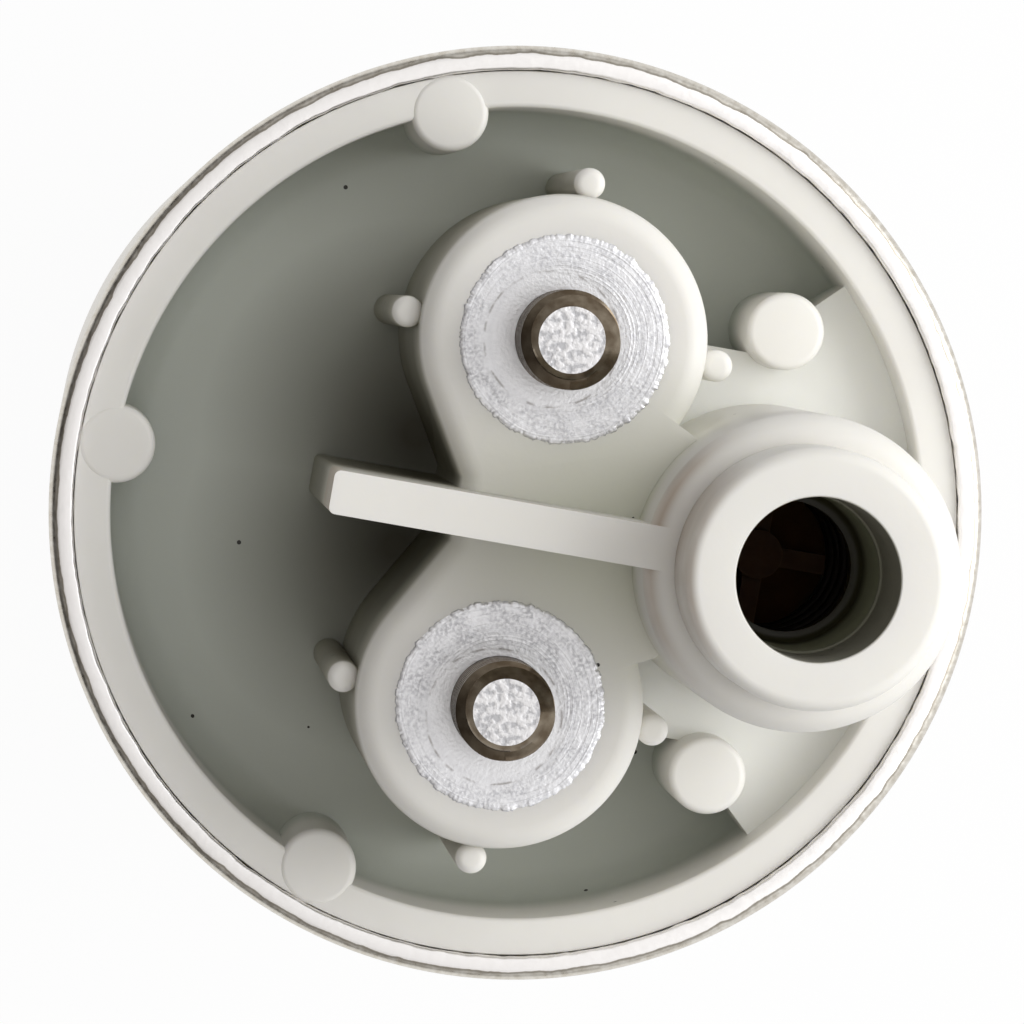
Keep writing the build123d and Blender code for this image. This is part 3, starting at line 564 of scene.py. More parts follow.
acetal, tree, shader = new_material("acetal_cap")
ivory = (0.84, 0.825, 0.78, 1)
ivory_cloud = (0.79, 0.77, 0.73, 1)
shade_green = (0.74, 0.745, 0.64, 1)
recess_shade_grey = (0.55, 0.585, 0.52, 1)
wall_shade_grey = (0.32, 0.305, 0.235, 1)
platform_light_pale = (0.93, 0.935, 0.89, 1)
shade_olive = (0.06, 0.052, 0.022, 1)
shade_brown = (0.50, 0.40, 0.31, 1)
speck_black = (0.03, 0.027, 0.022, 1)
bore_grey = (0.34, 0.33, 0.28, 1)
bore_green = (0.50, 0.51, 0.38, 1)
saddle_x = 3.0 * mm
pocket_x = -4.2 * mm
pocket_y = 2.4 * mm
place = add_node(tree, "ShaderNodeTexCoord").outputs["Object"]
parts = add_node(tree, "ShaderNodeSeparateXYZ", {"Vector": place}).outputs
height = parts["Z"]
texture = use_effect(tree, grain, Scale=2600.0, Spread=14.0)
broad = use_effect(tree, grain, Scale=900.0, Spread=10.0)
colour = tint(tree, remap(tree, texture["Cloud"], 0.35, 0.7, 0.0, 0.6), ivory, ivory_cloud)
# Painted shade: the plastic is tinted green between the bosses and the tower, grey low in the recess, and
# dark grey on the island's left-facing walls.
past = calculate(tree, "SUBTRACT", parts["X"], saddle_x)
from_saddle = add_node(tree, "ShaderNodeCombineXYZ", {"X": past, "Y": parts["Y"]}).outputs[0]
from_saddle = add_node(tree, "ShaderNodeVectorMath", {"Vector": from_saddle}, operation="LENGTH")
saddle_shade = remap(tree, from_saddle.outputs["Value"], 8.0 * mm, 2.0 * mm, 0.0, 0.9)
saddle_shade = calculate(tree, "MULTIPLY", saddle_shade, remap(tree, height, boss_top + 3 * mm, boss_top))
colour = tint(tree, saddle_shade, colour, shade_green)
# Painted shade: the colour goes grey towards the recess floor.
colour = tint(tree, remap(tree, height, 37.5 * mm, 34.0 * mm, 0.0, 0.8), colour, recess_shade_grey)
# Painted shade: upright walls on the left of the island, away from the lamp, are tinted dark grey.
facing = add_node(tree, "ShaderNodeNewGeometry").outputs["Normal"]
upright = add_node(tree, "ShaderNodeSeparateXYZ", {"Vector": facing}).outputs["Z"]
left_wall_shade = remap(tree, calculate(tree, "ABSOLUTE", upright), 0.5, 0.1)
sloping = remap(tree, upright, 1.0, 0.75)
left_wall_shade = calculate(tree, "MULTIPLY", left_wall_shade, remap(tree, height, tower_top, boss_top - 2.5 * mm, 0.3, 0.85))
flat = add_node(tree, "ShaderNodeCombineXYZ", {"X": parts["X"], "Y": parts["Y"]}).outputs[0]
from_middle = add_node(tree, "ShaderNodeVectorMath", {"Vector": flat}, operation="LENGTH").outputs["Value"]
left_wall_shade = calculate(tree, "MULTIPLY", left_wall_shade, remap(tree, from_middle, 15.0 * mm, 14.5 * mm))
left_wall_shade = calculate(tree, "MULTIPLY", left_wall_shade, remap(tree, parts["X"], 3.5 * mm, -1.0 * mm))
colour = tint(tree, left_wall_shade, colour, wall_shade_grey)
# Painted light: the platform beside the tower is lightened to a pale greenish white, against the tower's
# shadow.
platform_low = remap(tree, height, platform_top - 1.0 * mm, platform_top - 0.3 * mm)
platform_high = remap(tree, height, ring_top - 0.2 * mm, ring_top - 0.6 * mm)
platform_light = calculate(tree, "MULTIPLY", calculate(tree, "MULTIPLY", platform_low, platform_high), upright)
colour = tint(tree, platform_light, colour, platform_light_pale)
# Painted shade: dark olive in the two pockets beside the waist, low against the bosses.
past = calculate(tree, "SUBTRACT", parts["X"], pocket_x)
beside = calculate(tree, "SUBTRACT", calculate(tree, "ABSOLUTE", parts["Y"]), pocket_y)
from_pocket = add_node(tree, "ShaderNodeCombineXYZ", {"X": past, "Y": beside}).outputs[0]
from_pocket = add_node(tree, "ShaderNodeVectorMath", {"Vector": from_pocket}, operation="LENGTH")
pocket_shade = remap(tree, from_pocket.outputs["Value"], 9.0 * mm, 0.5 * mm, 0.0, 0.95)
low_down = remap(tree, height, boss_top - 1.0 * mm, 46.0 * mm)
colour = tint(tree, calculate(tree, "MULTIPLY", pocket_shade, low_down), colour, shade_olive)
# Painted shade: the roundings of the rib's end and of the tower's left side, facing away from the lamp, are
# tinted brown.
rib_end = remap(tree, parts["X"], rib_left + 0.5 * mm, rib_left + 0.1 * mm)
rib_end = calculate(tree, "MULTIPLY", rib_end, calculate(tree, "GREATER_THAN", height, boss_top))
tower_side = remap(tree, parts["X"], outlet_x - 3.0 * mm, outlet_x - 5.5 * mm)
tower_side = calculate(tree, "MULTIPLY", tower_side, remap(tree, height, tower_top - mm, tower_top))
painted_side_shade = calculate(tree, "MULTIPLY", calculate(tree, "MAXIMUM", rib_end, tower_side), sloping)
painted_side_shade = calculate(tree, "MULTIPLY", painted_side_shade, remap(tree, texture["Cloud"], 0.3, 0.6, 0.3, 1.0))
colour = tint(tree, painted_side_shade, colour, shade_brown)
# Inside the outlet the plastic is grey and grainy at the mouth, and greener and smoother below; towards the
# throat it turns dark olive, painted shade deep in the bore.
from_axis = add_node(tree, "ShaderNodeVectorMath", operation="MULTIPLY_ADD")
tree.links.new(place, from_axis.inputs[0])
from_axis.inputs[1].default_value = (1, 1, 0)
from_axis.inputs[2].default_value = (-outlet_x, 0, 0)
from_axis = add_node(tree, "ShaderNodeVectorMath", {"Vector": from_axis.outputs[0]}, operation="LENGTH")
bore_wall = remap(tree, from_axis.outputs["Value"], mouth_radius + 0.04 * mm, mouth_radius + 0.01 * mm)
in_bore = calculate(tree, "MULTIPLY", bore_wall, calculate(tree, "GREATER_THAN", height, chamber_top))
grey_zone = remap(tree, height, mouth_low - 0.6 * mm, mouth_low + 0.3 * mm)
bore_colour = tint(tree, remap(tree, height, throat_top, throat_top + 2 * mm), shade_olive, bore_green)
bore_colour = tint(tree, grey_zone, bore_colour, bore_grey)
colour = tint(tree, in_bore, colour, bore_colour)
# Black specks lie here and there in the surface.
cells = add_node(tree, "ShaderNodeTexVoronoi", {"Vector": place, "Scale": 480.0})
chosen = calculate(tree, "GREATER_THAN", calculate(tree, "MULTIPLY", cells.outputs["Color"], 1.0), 0.5)
speck = calculate(tree, "MULTIPLY", calculate(tree, "LESS_THAN", cells.outputs["Distance"], 0.045), chosen)
colour = tint(tree, speck, colour, speck_black)
tree.links.new(colour, shader.inputs["Base Color"])
tree.links.new(remap(tree, broad["Cloud"], 0.3, 0.7, 0.34, 0.5), shader.inputs["Roughness"])
shader.inputs["IOR"].default_value = 1.48
shader.inputs["Subsurface Weight"].default_value = 0.18
shader.inputs["Subsurface Radius"].default_value = (1.0, 0.95, 0.7)
shader.inputs["Subsurface Scale"].default_value = 1.1 * mm
grain_depth = remap(tree, calculate(tree, "MULTIPLY", in_bore, grey_zone), 0.0, 1.0, 1.0, 5.0)
relief(tree, shader, calculate(tree, "MULTIPLY", texture["Relief"], grain_depth), 0.006 * mm)
dress(cap, acetal)


# Terminal bushes.
# Turned aluminium, pressed in the bosses. The knurled edge has pushed up burrs, and a washer has
# left its ring round the stud.

bush_radius = 4.15 * mm
bush_top = 51.73 * mm
bush_bore = 2.25 * mm
burr = 0.09 * mm
knurl_count = 72
stud_hole = 1.955 * mm
bush_lip = 0.4 * mm
bush_segments = 504
bush_rings = [
    (stud_hole, 0.0),
    (bush_radius - 0.3 * mm, 0.0),
    (bush_radius - 0.24 * mm, 0.0),
    (bush_radius - 0.12 * mm, -0.005 * mm),
    (bush_radius - 0.03 * mm, -0.03 * mm),
    (bush_radius, -0.09 * mm),
    (bush_radius, bush_bottom - bush_top),
    (bush_bore, bush_bottom - bush_top),
    (bush_bore, -bush_lip),
    (stud_hole, -bush_lip),
]


def bush_shape(seed):
    """A bush with its top at the height zero, its edge knurled and ragged."""
    shape = bmesh.new()
    columns = []
    for number in range(bush_segments):
        turn = 2 * pi * number / bush_segments
        rough = noise.noise(Vector((cos(turn) * 9, sin(turn) * 9, seed)))
        rough += 0.7 * noise.noise(Vector((cos(turn) * 40, sin(turn) * 40, seed)))
        notch = abs(sin(turn * knurl_count / 2)) ** 0.5 - 0.8
        column = []
        for across, rise in bush_rings:
            ragged = 0.0
            if across > bush_radius - 0.2 * mm and rise > -mm:
                ragged = burr * (0.35 * notch + 0.75 * rough)
            radius = max(across + ragged, bush_seat_radius) if ragged else across
            lift = 0.5 * ragged if -0.1 * mm < rise <= 0 else 0.0
            column.append(shape.verts.new((radius * cos(turn), radius * sin(turn), rise + lift)))
        columns.append(column)
    for column, following in zip(columns, columns[1:] + columns[:1]):
        for k in range(len(bush_rings)):
            m = (k + 1) % len(bush_rings)
            shape.faces.new((column[k], column[m], following[m], following[k]))
    return shape


# Turned rings: fine grooves round the axis, from a lathe tool.
rings, given, wanted = effect("turned_rings", {"Scale": 9000.0}, ("Grooves", "Bands"))
place = add_node(rings, "ShaderNodeTexCoord").outputs["Object"]
flat = add_node(rings, "ShaderNodeVectorMath", operation="MULTIPLY")
rings.links.new(place, flat.inputs[0])
flat.inputs[1].default_value = (1, 1, 0)
across = add_node(rings, "ShaderNodeVectorMath", operation="LENGTH")
rings.links.new(flat.outputs[0], across.inputs[0])
wobble = add_node(rings, "ShaderNodeTexNoise", {"Vector": place, "Scale": 260.0, "Detail": 1.0})
wander = calculate(rings, "MULTIPLY", wobble.outputs["Fac"], 0.0003)
reach = calculate(rings, "MULTIPLY", calculate(rings, "ADD", across.outputs["Value"], wander), given["Scale"])
fine = {"W": reach, "Scale": 1.0, "Detail": 3.0}
grooves = add_node(rings, "ShaderNodeTexNoise", fine, noise_dimensions="1D")
slow = calculate(rings, "MULTIPLY", reach, 0.16)
wide = {"W": slow, "Scale": 1.0, "Detail": 1.0}
bands = add_node(rings, "ShaderNodeTexNoise", wide, noise_dimensions="1D")
rings.links.new(grooves.outputs["Fac"], wanted["Grooves"])
rings.links.new(bands.outputs["Fac"], wanted["Bands"])

alloy, tree, shader = new_material("bush_aluminium")
alloy_light = (0.90, 0.90, 0.92, 1)
alloy_grey = (0.60, 0.60, 0.63, 1)
alloy_dark = (0.20, 0.17, 0.15, 1)
mark_radius = 2.68 * mm
mark_shift = (0.49 * mm, 0.09 * mm, 0.0)
place = add_node(tree, "ShaderNodeTexCoord").outputs["Object"]
flat = add_node(tree, "ShaderNodeVectorMath", operation="MULTIPLY_ADD")
tree.links.new(place, flat.inputs[0])
flat.inputs[1].default_value = (1, 1, 0)
flat.inputs[2].default_value = mark_shift
across = add_node(tree, "ShaderNodeVectorMath", operation="LENGTH")
tree.links.new(flat.outputs[0], across.inputs[0])
texture = use_effect(tree, grain, Scale=2600.0, Spread=2.2)
close = use_effect(tree, grain, Scale=7500.0, Spread=3.0)
lathe = use_effect(tree, rings, Scale=9000.0)
worn = use_effect(tree, edges, Reach=0.1 * mm, Gain=4.0)
outer_zone = remap(tree, across.outputs["Value"], mark_radius - 0.1 * mm, mark_radius + 0.35 * mm)
frost = remap(tree, close["Relief"], 0.38, 0.62)
frost = calculate(tree, "MULTIPLY", frost, remap(tree, texture["Cloud"], 0.3, 0.6))
frost = calculate(tree, "MULTIPLY", frost, remap(tree, outer_zone, 0.0, 1.0, 0.15, 0.8))
colour = tint(tree, frost, alloy_light, alloy_grey)
banded = calculate(tree, "MULTIPLY", remap(tree, lathe["Bands"], 0.56, 0.66), 0.3)
colour = tint(tree, banded, colour, alloy_grey)
# A washer has left part of its edge as a thin dark arc.
edge_low = remap(tree, across.outputs["Value"], mark_radius - 0.08 * mm, mark_radius - 0.02 * mm)
edge_high = remap(tree, across.outputs["Value"], mark_radius + 0.05 * mm, mark_radius)
broken = remap(tree, texture["Cloud"], 0.5, 0.6)
arc_mask = calculate(tree, "MULTIPLY", calculate(tree, "MULTIPLY", edge_low, edge_high), broken)
colour = tint(tree, calculate(tree, "MULTIPLY", arc_mask, 0.6), colour, alloy_dark)
colour = tint(tree, calculate(tree, "MULTIPLY", worn["Mask"], 0.6), colour, alloy_light)
tree.links.new(colour, shader.inputs["Base Color"])
shader.inputs["Metallic"].default_value = 1.0
tree.links.new(remap(tree, frost, 0.0, 0.6, 0.36, 0.55), shader.inputs["Roughness"])
surface = calculate(tree, "MULTIPLY", lathe["Grooves"], remap(tree, outer_zone, 0.0, 1.0, 0.15, 1.0))
dented = remap(tree, outer_zone, 0.0, 1.0, 0.4, 1.6)
surface = calculate(tree, "MULTIPLY_ADD", texture["Relief"], dented, surface)
surface = calculate(tree, "MULTIPLY_ADD", close["Relief"], 1.0, surface)
relief(tree, shader, surface, 0.014 * mm)
for seed, letter in enumerate("ab"):
    low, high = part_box(f"terminal_bush_{letter}")
    bush = new_piece(f"bush_{letter}", bush_shape(seed), 50)
    bush.location = ((low.x + high.x) / 2, (low.y + high.y) / 2, bush_top)
    bush.rotation_euler.z = seed * radians(60)
    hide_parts(f"terminal_bush_{letter}")
    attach(bush, "housing")
    dress(bush, alloy)


# Terminal studs.
# M4 screws of plated steel, held by a hexagonal head under the bush, with a sawn end above and a
# thin tail that goes down to the tag. The thread is bronze, darkened further as a painted reflection of dark
# surroundings.

stud_radius = 1.95 * mm
stud_top = 56.1 * mm
stud_chamfer = 0.65 * mm
shank_radius = 2.2 * mm
thread_pitch = 0.7 * mm
thread_depth = 0.4 * mm
thread_profile = ((0.0, 0.0), (0.16, 0.0), (0.44, 1.0), (0.62, 1.0), (0.9, 0.0))
thread_segments = 96
head_radius = 3.0 * mm
head_low = 44.1 * mm
tail_radius = 1.1 * mm
tail_end = 29.2 * mm


def thread_shape(low, high):
    """A right-hand thread with a chamfered top, closed at both ends."""
    shape = bmesh.new()
    turns = ceil((high - low) / thread_pitch) + 1
    columns = []
    for number in range(thread_segments):
        share = number / thread_segments
        turn = 2 * pi * share
        column = []
        for level in range(-1, turns):
            for rise, depth in thread_profile:
                z = low + (level + share + rise) * thread_pitch
                if not low < z < high:
                    continue
                radius = min(stud_radius - depth * thread_depth, stud_radius - stud_chamfer + high - z)
                column.append((radius, z))
        column = [(stud_radius - thread_depth, low)] + column + [(stud_radius - stud_chamfer, high)]
        columns.append([shape.verts.new((r * cos(turn), r * sin(turn), z)) for r, z in column])
    last = len(columns) - 1
    for number, column in enumerate(columns):
        following = columns[0] if number == last else columns[number + 1]
        mine, theirs = 0, 0
        while mine < len(column) - 1 or theirs < len(following) - 1:
            step_mine = mine < len(column) - 1 and (
                theirs == len(following) - 1 or column[mine + 1].co.z <= following[theirs + 1].co.z
            )
            if step_mine:
                shape.faces.new((column[mine], following[theirs], column[mine + 1]))
                mine += 1
            else:
                shape.faces.new((column[mine], following[theirs], following[theirs + 1]))
                theirs += 1
    shape.faces.new([column[-1] for column in columns])
    shape.faces.new([column[0] for column in columns][::-1])
    return shape


def add_shape(shape, other):
    """Puts another shape into this one."""
    mesh = bpy.data.meshes.new("added")
    other.to_mesh(mesh)
    other.free()
    shape.from_mesh(mesh)
    bpy.data.meshes.remove(mesh)


plated, tree, shader = new_material("stud_plated")
plate_bright = (0.86, 0.85, 0.86, 1)
plate_bronze = (0.24, 0.20, 0.15, 1)
plate_brown = (0.12, 0.09, 0.06, 1)
pit_grey = (0.50, 0.50, 0.52, 1)
texture = use_effect(tree, grain, Scale=4200.0, Spread=3.0)
facing = add_node(tree, "ShaderNodeNewGeometry").outputs["Normal"]
upright = add_node(tree, "ShaderNodeSeparateXYZ", {"Vector": facing}).outputs["Z"]
sawn_end = remap(tree, upright, 0.9, 0.98)
# The thread is bronze plating, darkened further as a painted reflection of dark surroundings.
bronze_and_dark_reflection = tint(tree, remap(tree, texture["Cloud"], 0.35, 0.65), plate_brown, plate_bronze)
speckled = tint(tree, remap(tree, texture["Relief"], 0.54, 0.4, 0.0, 0.85), plate_bright, pit_grey)
tree.links.new(tint(tree, sawn_end, bronze_and_dark_reflection, speckled), shader.inputs["Base Color"])
shader.inputs["Metallic"].default_value = 1.0
tree.links.new(remap(tree, sawn_end, 0.0, 1.0, 0.2, 0.42), shader.inputs["Roughness"])
relief(tree, shader, calculate(tree, "MULTIPLY", texture["Relief"], sawn_end), 0.04 * mm)
for letter in "ab":
    low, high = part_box(f"terminal_stud_{letter}")
    shape = thread_shape(-bush_lip, stud_top - bush_top)
    sides = [(head_radius * cos(radians(60 * k)), head_radius * sin(radians(60 * k))) for k in range(6)]
    add_shape(shape, plate_shape(sides, head_low - bush_top, bush_bottom - bush_top))
    for radius, bottom, top in (
        (shank_radius, bush_bottom - bush_top, -bush_lip),
        (tail_radius, tail_end - bush_top, head_low - bush_top),
    ):
        add_shape(shape, turned_shape([(0, bottom), (radius, bottom), (radius, top), (0, top)], 64))
    stud = new_piece(f"stud_{letter}", shape, 40)
    stud.location = ((low.x + high.x) / 2, (low.y + high.y) / 2, bush_top)
    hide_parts(f"terminal_stud_{letter}")
    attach(stud, "housing")
    dress(stud, plated)


def worn_material(name, colour, worn_colour, metal, rough, scale, depth, pattern=None):
    """A finish with a cloudy tone, worn edges and fine relief, from a grain or a given pattern."""
    material, tree, shader = new_material(name)
    texture = use_effect(tree, grain, Scale=scale, Spread=9.0)
    worn = use_effect(tree, edges, Reach=0.12 * mm, Gain=3.0)
    height = texture["Relief"]
    if pattern:
        lines = use_effect(tree, pattern, Scale=scale)
        height = calculate(tree, "ADD", calculate(tree, "MULTIPLY", height, 0.4), lines[0])
    shade = tuple(0.72 * channel for channel in colour[:3]) + (1,)
    plain = tint(tree, remap(tree, texture["Cloud"], 0.3, 0.7), shade, colour)
    tree.links.new(tint(tree, worn["Mask"], plain, worn_colour), shader.inputs["Base Color"])
    shader.inputs["Metallic"].default_value = metal
    tree.links.new(remap(tree, texture["Relief"], 0.3, 0.7, *rough), shader.inputs["Roughness"])
    relief(tree, shader, height, depth)
    return material


def dress_nodes(material, *names):
    """Gives CAD nodes their material."""
    for name in names:
        dress(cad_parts[name], material)


# Tags and chokes.
# Under each terminal a brass strip leads to a ferrite rod wound with enamelled copper wire,
# which stands in a holder of the end cap and keeps the brushes' sparks off the supply.

tag_yellow = (0.72, 0.53, 0.24, 1)
tag_edge = (0.88, 0.72, 0.42, 1)
dress_nodes(
    worn_material("tag_brass", tag_yellow, tag_edge, 1.0, (0.25, 0.4), 2500, 0.004 * mm, drawn),
    "terminal_tag_a",
    "terminal_tag_b",
)
ferrite_grey = (0.045, 0.045, 0.05, 1)
ferrite_chip = (0.11, 0.11, 0.12, 1)
dress_nodes(
    worn_material("ferrite", ferrite_grey, ferrite_chip, 0.0, (0.45, 0.7), 7000, 0.02 * mm),
    "choke_core_a",
    "choke_core_b",
)
enamel_copper = (0.58, 0.23, 0.09, 1)
enamel_worn = (0.75, 0.38, 0.2, 1)
dress_nodes(
    worn_material("choke_copper", enamel_copper, enamel_worn, 1.0, (0.2, 0.32), 1800, 0.006 * mm),
    "choke_coil_a",
    "choke_coil_b",
)


# Brushes.
# Blocks of copper-bonded carbon that slide in holders under the cap. A steel coil spring presses
# each on the commutator, and a copper braid carries its current.

wire_segments = 12
turn_steps = 40


def coil_shape(radius, wire, low, high, turns, x, y):
    """A spring of round wire with a closed turn at each end."""
    shape = bmesh.new()
    middle = radius - wire / 2
    closed = 2 * wire
    climb = high - low - wire - closed
    total = turns + 2
    previous = None
    for step in range(total * turn_steps + 1):
        turn = step / turn_steps
        rise = min(turn, 1) * wire + min(max(turn - 1, 0), turns) * climb / turns
        rise += min(max(turn - 1 - turns, 0), 1) * wire
        heading = 2 * pi * turn
        centre = Vector((x + middle * cos(heading), y + middle * sin(heading), low + wire / 2 + rise))
        outward = Vector((cos(heading), sin(heading), 0))
        ring = []
        for k in range(wire_segments):
            round_angle = 2 * pi * k / wire_segments
            offset = outward * cos(round_angle) + Vector((0, 0, sin(round_angle)))
            ring.append(shape.verts.new(centre + offset * wire / 2))
        if previous:
            for k in range(wire_segments):
                m = (k + 1) % wire_segments
                shape.faces.new((previous[k], previous[m], ring[m], ring[k]))
        else:
            shape.faces.new(ring)
        previous = ring
    shape.faces.new(previous[::-1])
    return shape


def spring(node, wire, turns, finish):
    """A coil in the place of a CAD spring."""
    low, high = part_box(node)
    x, y = (low.x + high.x) / 2, (low.y + high.y) / 2
    radius = (high.x - low.x) / 2
    piece = new_piece(f"{node}_coil", coil_shape(radius, wire, low.z, high.z, turns, x, y), 60)
    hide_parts(node)
    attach(piece, "housing")
    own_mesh(piece)
    dress(piece, finish)


spring_grey = (0.56, 0.55, 0.53, 1)
spring_bright = (0.8, 0.79, 0.77, 1)
spring_wire = worn_material("spring_steel", spring_grey, spring_bright, 1.0, (0.22, 0.38), 5000, 0.003 * mm)
carbon_black = (0.05, 0.047, 0.045, 1)
carbon_copper = (0.3, 0.16, 0.1, 1)
carbon = worn_material("brush_carbon", carbon_black, carbon_copper, 0.2, (0.4, 0.6), 6000, 0.012 * mm)
braid_copper = (0.7, 0.36, 0.2, 1)
braid_light = (0.85, 0.5, 0.32, 1)
braid = worn_material("lead_copper", braid_copper, braid_light, 1.0, (0.3, 0.5), 9000, 0.03 * mm)
for letter in "ab":
    spring(f"brush_spring_{letter}", 0.5 * mm, 4, spring_wire)
    dress_nodes(carbon, f"brush_{letter}")
    dress_nodes(braid, f"brush_lead_{letter}")


# Outlet check valve.
# A plastic seat under the outlet tower, and a rubber-faced poppet that a light stainless spring
# closes, so that the fuel line stays full when the pump stops.

seat_cream = (0.62, 0.6, 0.52, 1)
seat_pale = (0.72, 0.7, 0.64, 1)
dress_nodes(
    worn_material("valve_plastic", seat_cream, seat_pale, 0.0, (0.35, 0.5), 3000, 0.006 * mm),
    "outlet_valve_seat",
)
rubber_brown = (0.26, 0.11, 0.035, 1)
rubber_dull = (0.34, 0.17, 0.07, 1)
dress_nodes(
    worn_material("poppet_rubber", rubber_brown, rubber_dull, 0.0, (0.5, 0.7), 5000, 0.01 * mm),
    "outlet_valve_poppet",
)
# Painted shade: the stainless valve spring is coloured near-black brown, as it sits deep in the dark bore.
spring_shade_brown = (0.035, 0.024, 0.015, 1)
spring_shade_worn = (0.07, 0.05, 0.035, 1)
shaded_spring_wire = worn_material("spring_wire_painted_shade", spring_shade_brown, spring_shade_worn, 0.3, (0.45, 0.6), 5000, 0.003 * mm)
spring("outlet_valve_spring", 0.45 * mm, 4, shaded_spring_wire)


# Seals.
# Nitrile rubber rings, squeezed between the end pieces and the housing.

seal_black = (0.018, 0.018, 0.019, 1)
seal_grey = (0.04, 0.04, 0.042, 1)
dress_nodes(
    worn_material("seal_rubber", seal_black, seal_grey, 0.0, (0.45, 0.65), 4000, 0.006 * mm),
    "cap_seal",
    "casing_seal",
)


# Magnets.
# Two arcs of hard ferrite with ground inner faces, held apart in the tube by spring steel clips.

magnet_grey = (0.06, 0.06, 0.065, 1)
magnet_ground = (0.13, 0.13, 0.14, 1)
dress_nodes(
    worn_material("magnet_ferrite", magnet_grey, magnet_ground, 0.0, (0.35, 0.6), 2200, 0.01 * mm, drawn),
    "magnet_a",
    "magnet_b",
)
dress_nodes(spring_wire, "magnet_clip_a", "magnet_clip_b")


# Armature.
# A ground steel shaft that carries a stack of steel sheets with a copper winding, and a
# commutator of carbon segments moulded in black phenolic, with plastic spacers above and below.

# Stacked sheets: fine steps along the shaft, one for each sheet.
sheets, given, wanted = effect("stacked_sheets", {"Scale": 2000.0}, ("Steps",))
place = add_node(sheets, "ShaderNodeTexCoord").outputs["Object"]
along = add_node(sheets, "ShaderNodeSeparateXYZ", {"Vector": place}).outputs["Z"]
saw = calculate(sheets, "FRACT", calculate(sheets, "MULTIPLY", along, given["Scale"]))
sheets.links.new(calculate(sheets, "PINGPONG", saw, 0.5), wanted["Steps"])

shaft_steel = (0.62, 0.61, 0.6, 1)
shaft_bright = (0.8, 0.8, 0.8, 1)
dress_nodes(
    worn_material("ground_steel", shaft_steel, shaft_bright, 1.0, (0.12, 0.22), 6000, 0.002 * mm),
    "shaft",
    "relief_ball",
)
spacer_grey = (0.09, 0.09, 0.095, 1)
spacer_worn = (0.16, 0.16, 0.165, 1)
dress_nodes(
    worn_material("spacer_plastic", spacer_grey, spacer_worn, 0.0, (0.4, 0.55), 3000, 0.006 * mm),
    "upper_spacer",
    "lower_spacer",
)
sheet_grey = (0.3, 0.3, 0.31, 1)
sheet_edge = (0.55, 0.54, 0.52, 1)
dress_nodes(
    worn_material("core_steel", sheet_grey, sheet_edge, 1.0, (0.35, 0.5), 2000, 0.05 * mm, sheets),
    "armature_core",
)
winding_copper = (0.55, 0.2, 0.08, 1)
winding_worn = (0.7, 0.34, 0.18, 1)
dress_nodes(
    worn_material("winding_copper", winding_copper, winding_worn, 1.0, (0.2, 0.34), 2500, 0.12 * mm, sheets),
    "armature_winding",
)
phenolic_black = (0.03, 0.028, 0.027, 1)
phenolic_worn = (0.07, 0.065, 0.06, 1)
dress_nodes(
    worn_material("commutator_moulding", phenolic_black, phenolic_worn, 0.0, (0.35, 0.5), 2500, 0.008 * mm),
    "commutator_base",
)
segment_grey = (0.075, 0.075, 0.078, 1)
segment_track = (0.16, 0.16, 0.165, 1)
dress_nodes(
    worn_material(
        "commutator_carbon", segment_grey, segment_track, 0.1, (0.25, 0.5), 5000, 0.008 * mm, rings
    ),
    "commutator_segments",
)


# Bearings.
# Carbon bushes at both ends of the shaft, and a ceramic pad under it that takes its thrust.

bearing_grey = (0.08, 0.08, 0.082, 1)
bearing_sheen = (0.18, 0.18, 0.185, 1)
dress_nodes(
    worn_material("bearing_carbon", bearing_grey, bearing_sheen, 0.1, (0.35, 0.55), 7000, 0.01 * mm),
    "upper_bearing",
    "lower_bearing",
)
ceramic_white = (0.8, 0.79, 0.76, 1)
ceramic_edge = (0.86, 0.85, 0.83, 1)
dress_nodes(
    worn_material("thrust_ceramic", ceramic_white, ceramic_edge, 0.0, (0.15, 0.25), 5000, 0.002 * mm),
    "thrust_pad",
)


# Pump stage.
# A vaned wheel of brown phenolic between two die-cast aluminium halves, machined where they meet
# and bead-blasted outside. The lower one carries the inlet nipple.

wheel_brown = (0.13, 0.065, 0.035, 1)
wheel_worn = (0.24, 0.14, 0.08, 1)
dress_nodes(
    worn_material("impeller_plastic", wheel_brown, wheel_worn, 0.0, (0.35, 0.5), 2500, 0.01 * mm),
    "impeller",
)
cast_grey = (0.6, 0.6, 0.6, 1)
cast_bright = (0.82, 0.82, 0.81, 1)
dress_nodes(
    worn_material("casing_aluminium", cast_grey, cast_bright, 1.0, (0.4, 0.58), 5500, 0.03 * mm),
    "pump_casing",
    "pump_cover",
)


# Relief valve.
# A steel ball on a spring behind a brass plug in the lower half, which opens if the line is blocked.

plug_yellow = (0.74, 0.56, 0.27, 1)
plug_bright = (0.9, 0.75, 0.45, 1)
dress_nodes(
    worn_material("plug_brass", plug_yellow, plug_bright, 1.0, (0.25, 0.38), 6000, 0.008 * mm, rings),
    "relief_plug",
)
spring("relief_spring", 0.4 * mm, 3, spring_wire)


# Floor, light and camera.
# A white floor, a white surround that is brighter above and to the right, and one soft lamp close
# to the right, as the photo's shadows and reflections ask.

photo_turn = radians(10.0)
right = Vector((cos(photo_turn), sin(photo_turn), 0))
up = Vector((-sin(photo_turn), cos(photo_turn), 0))

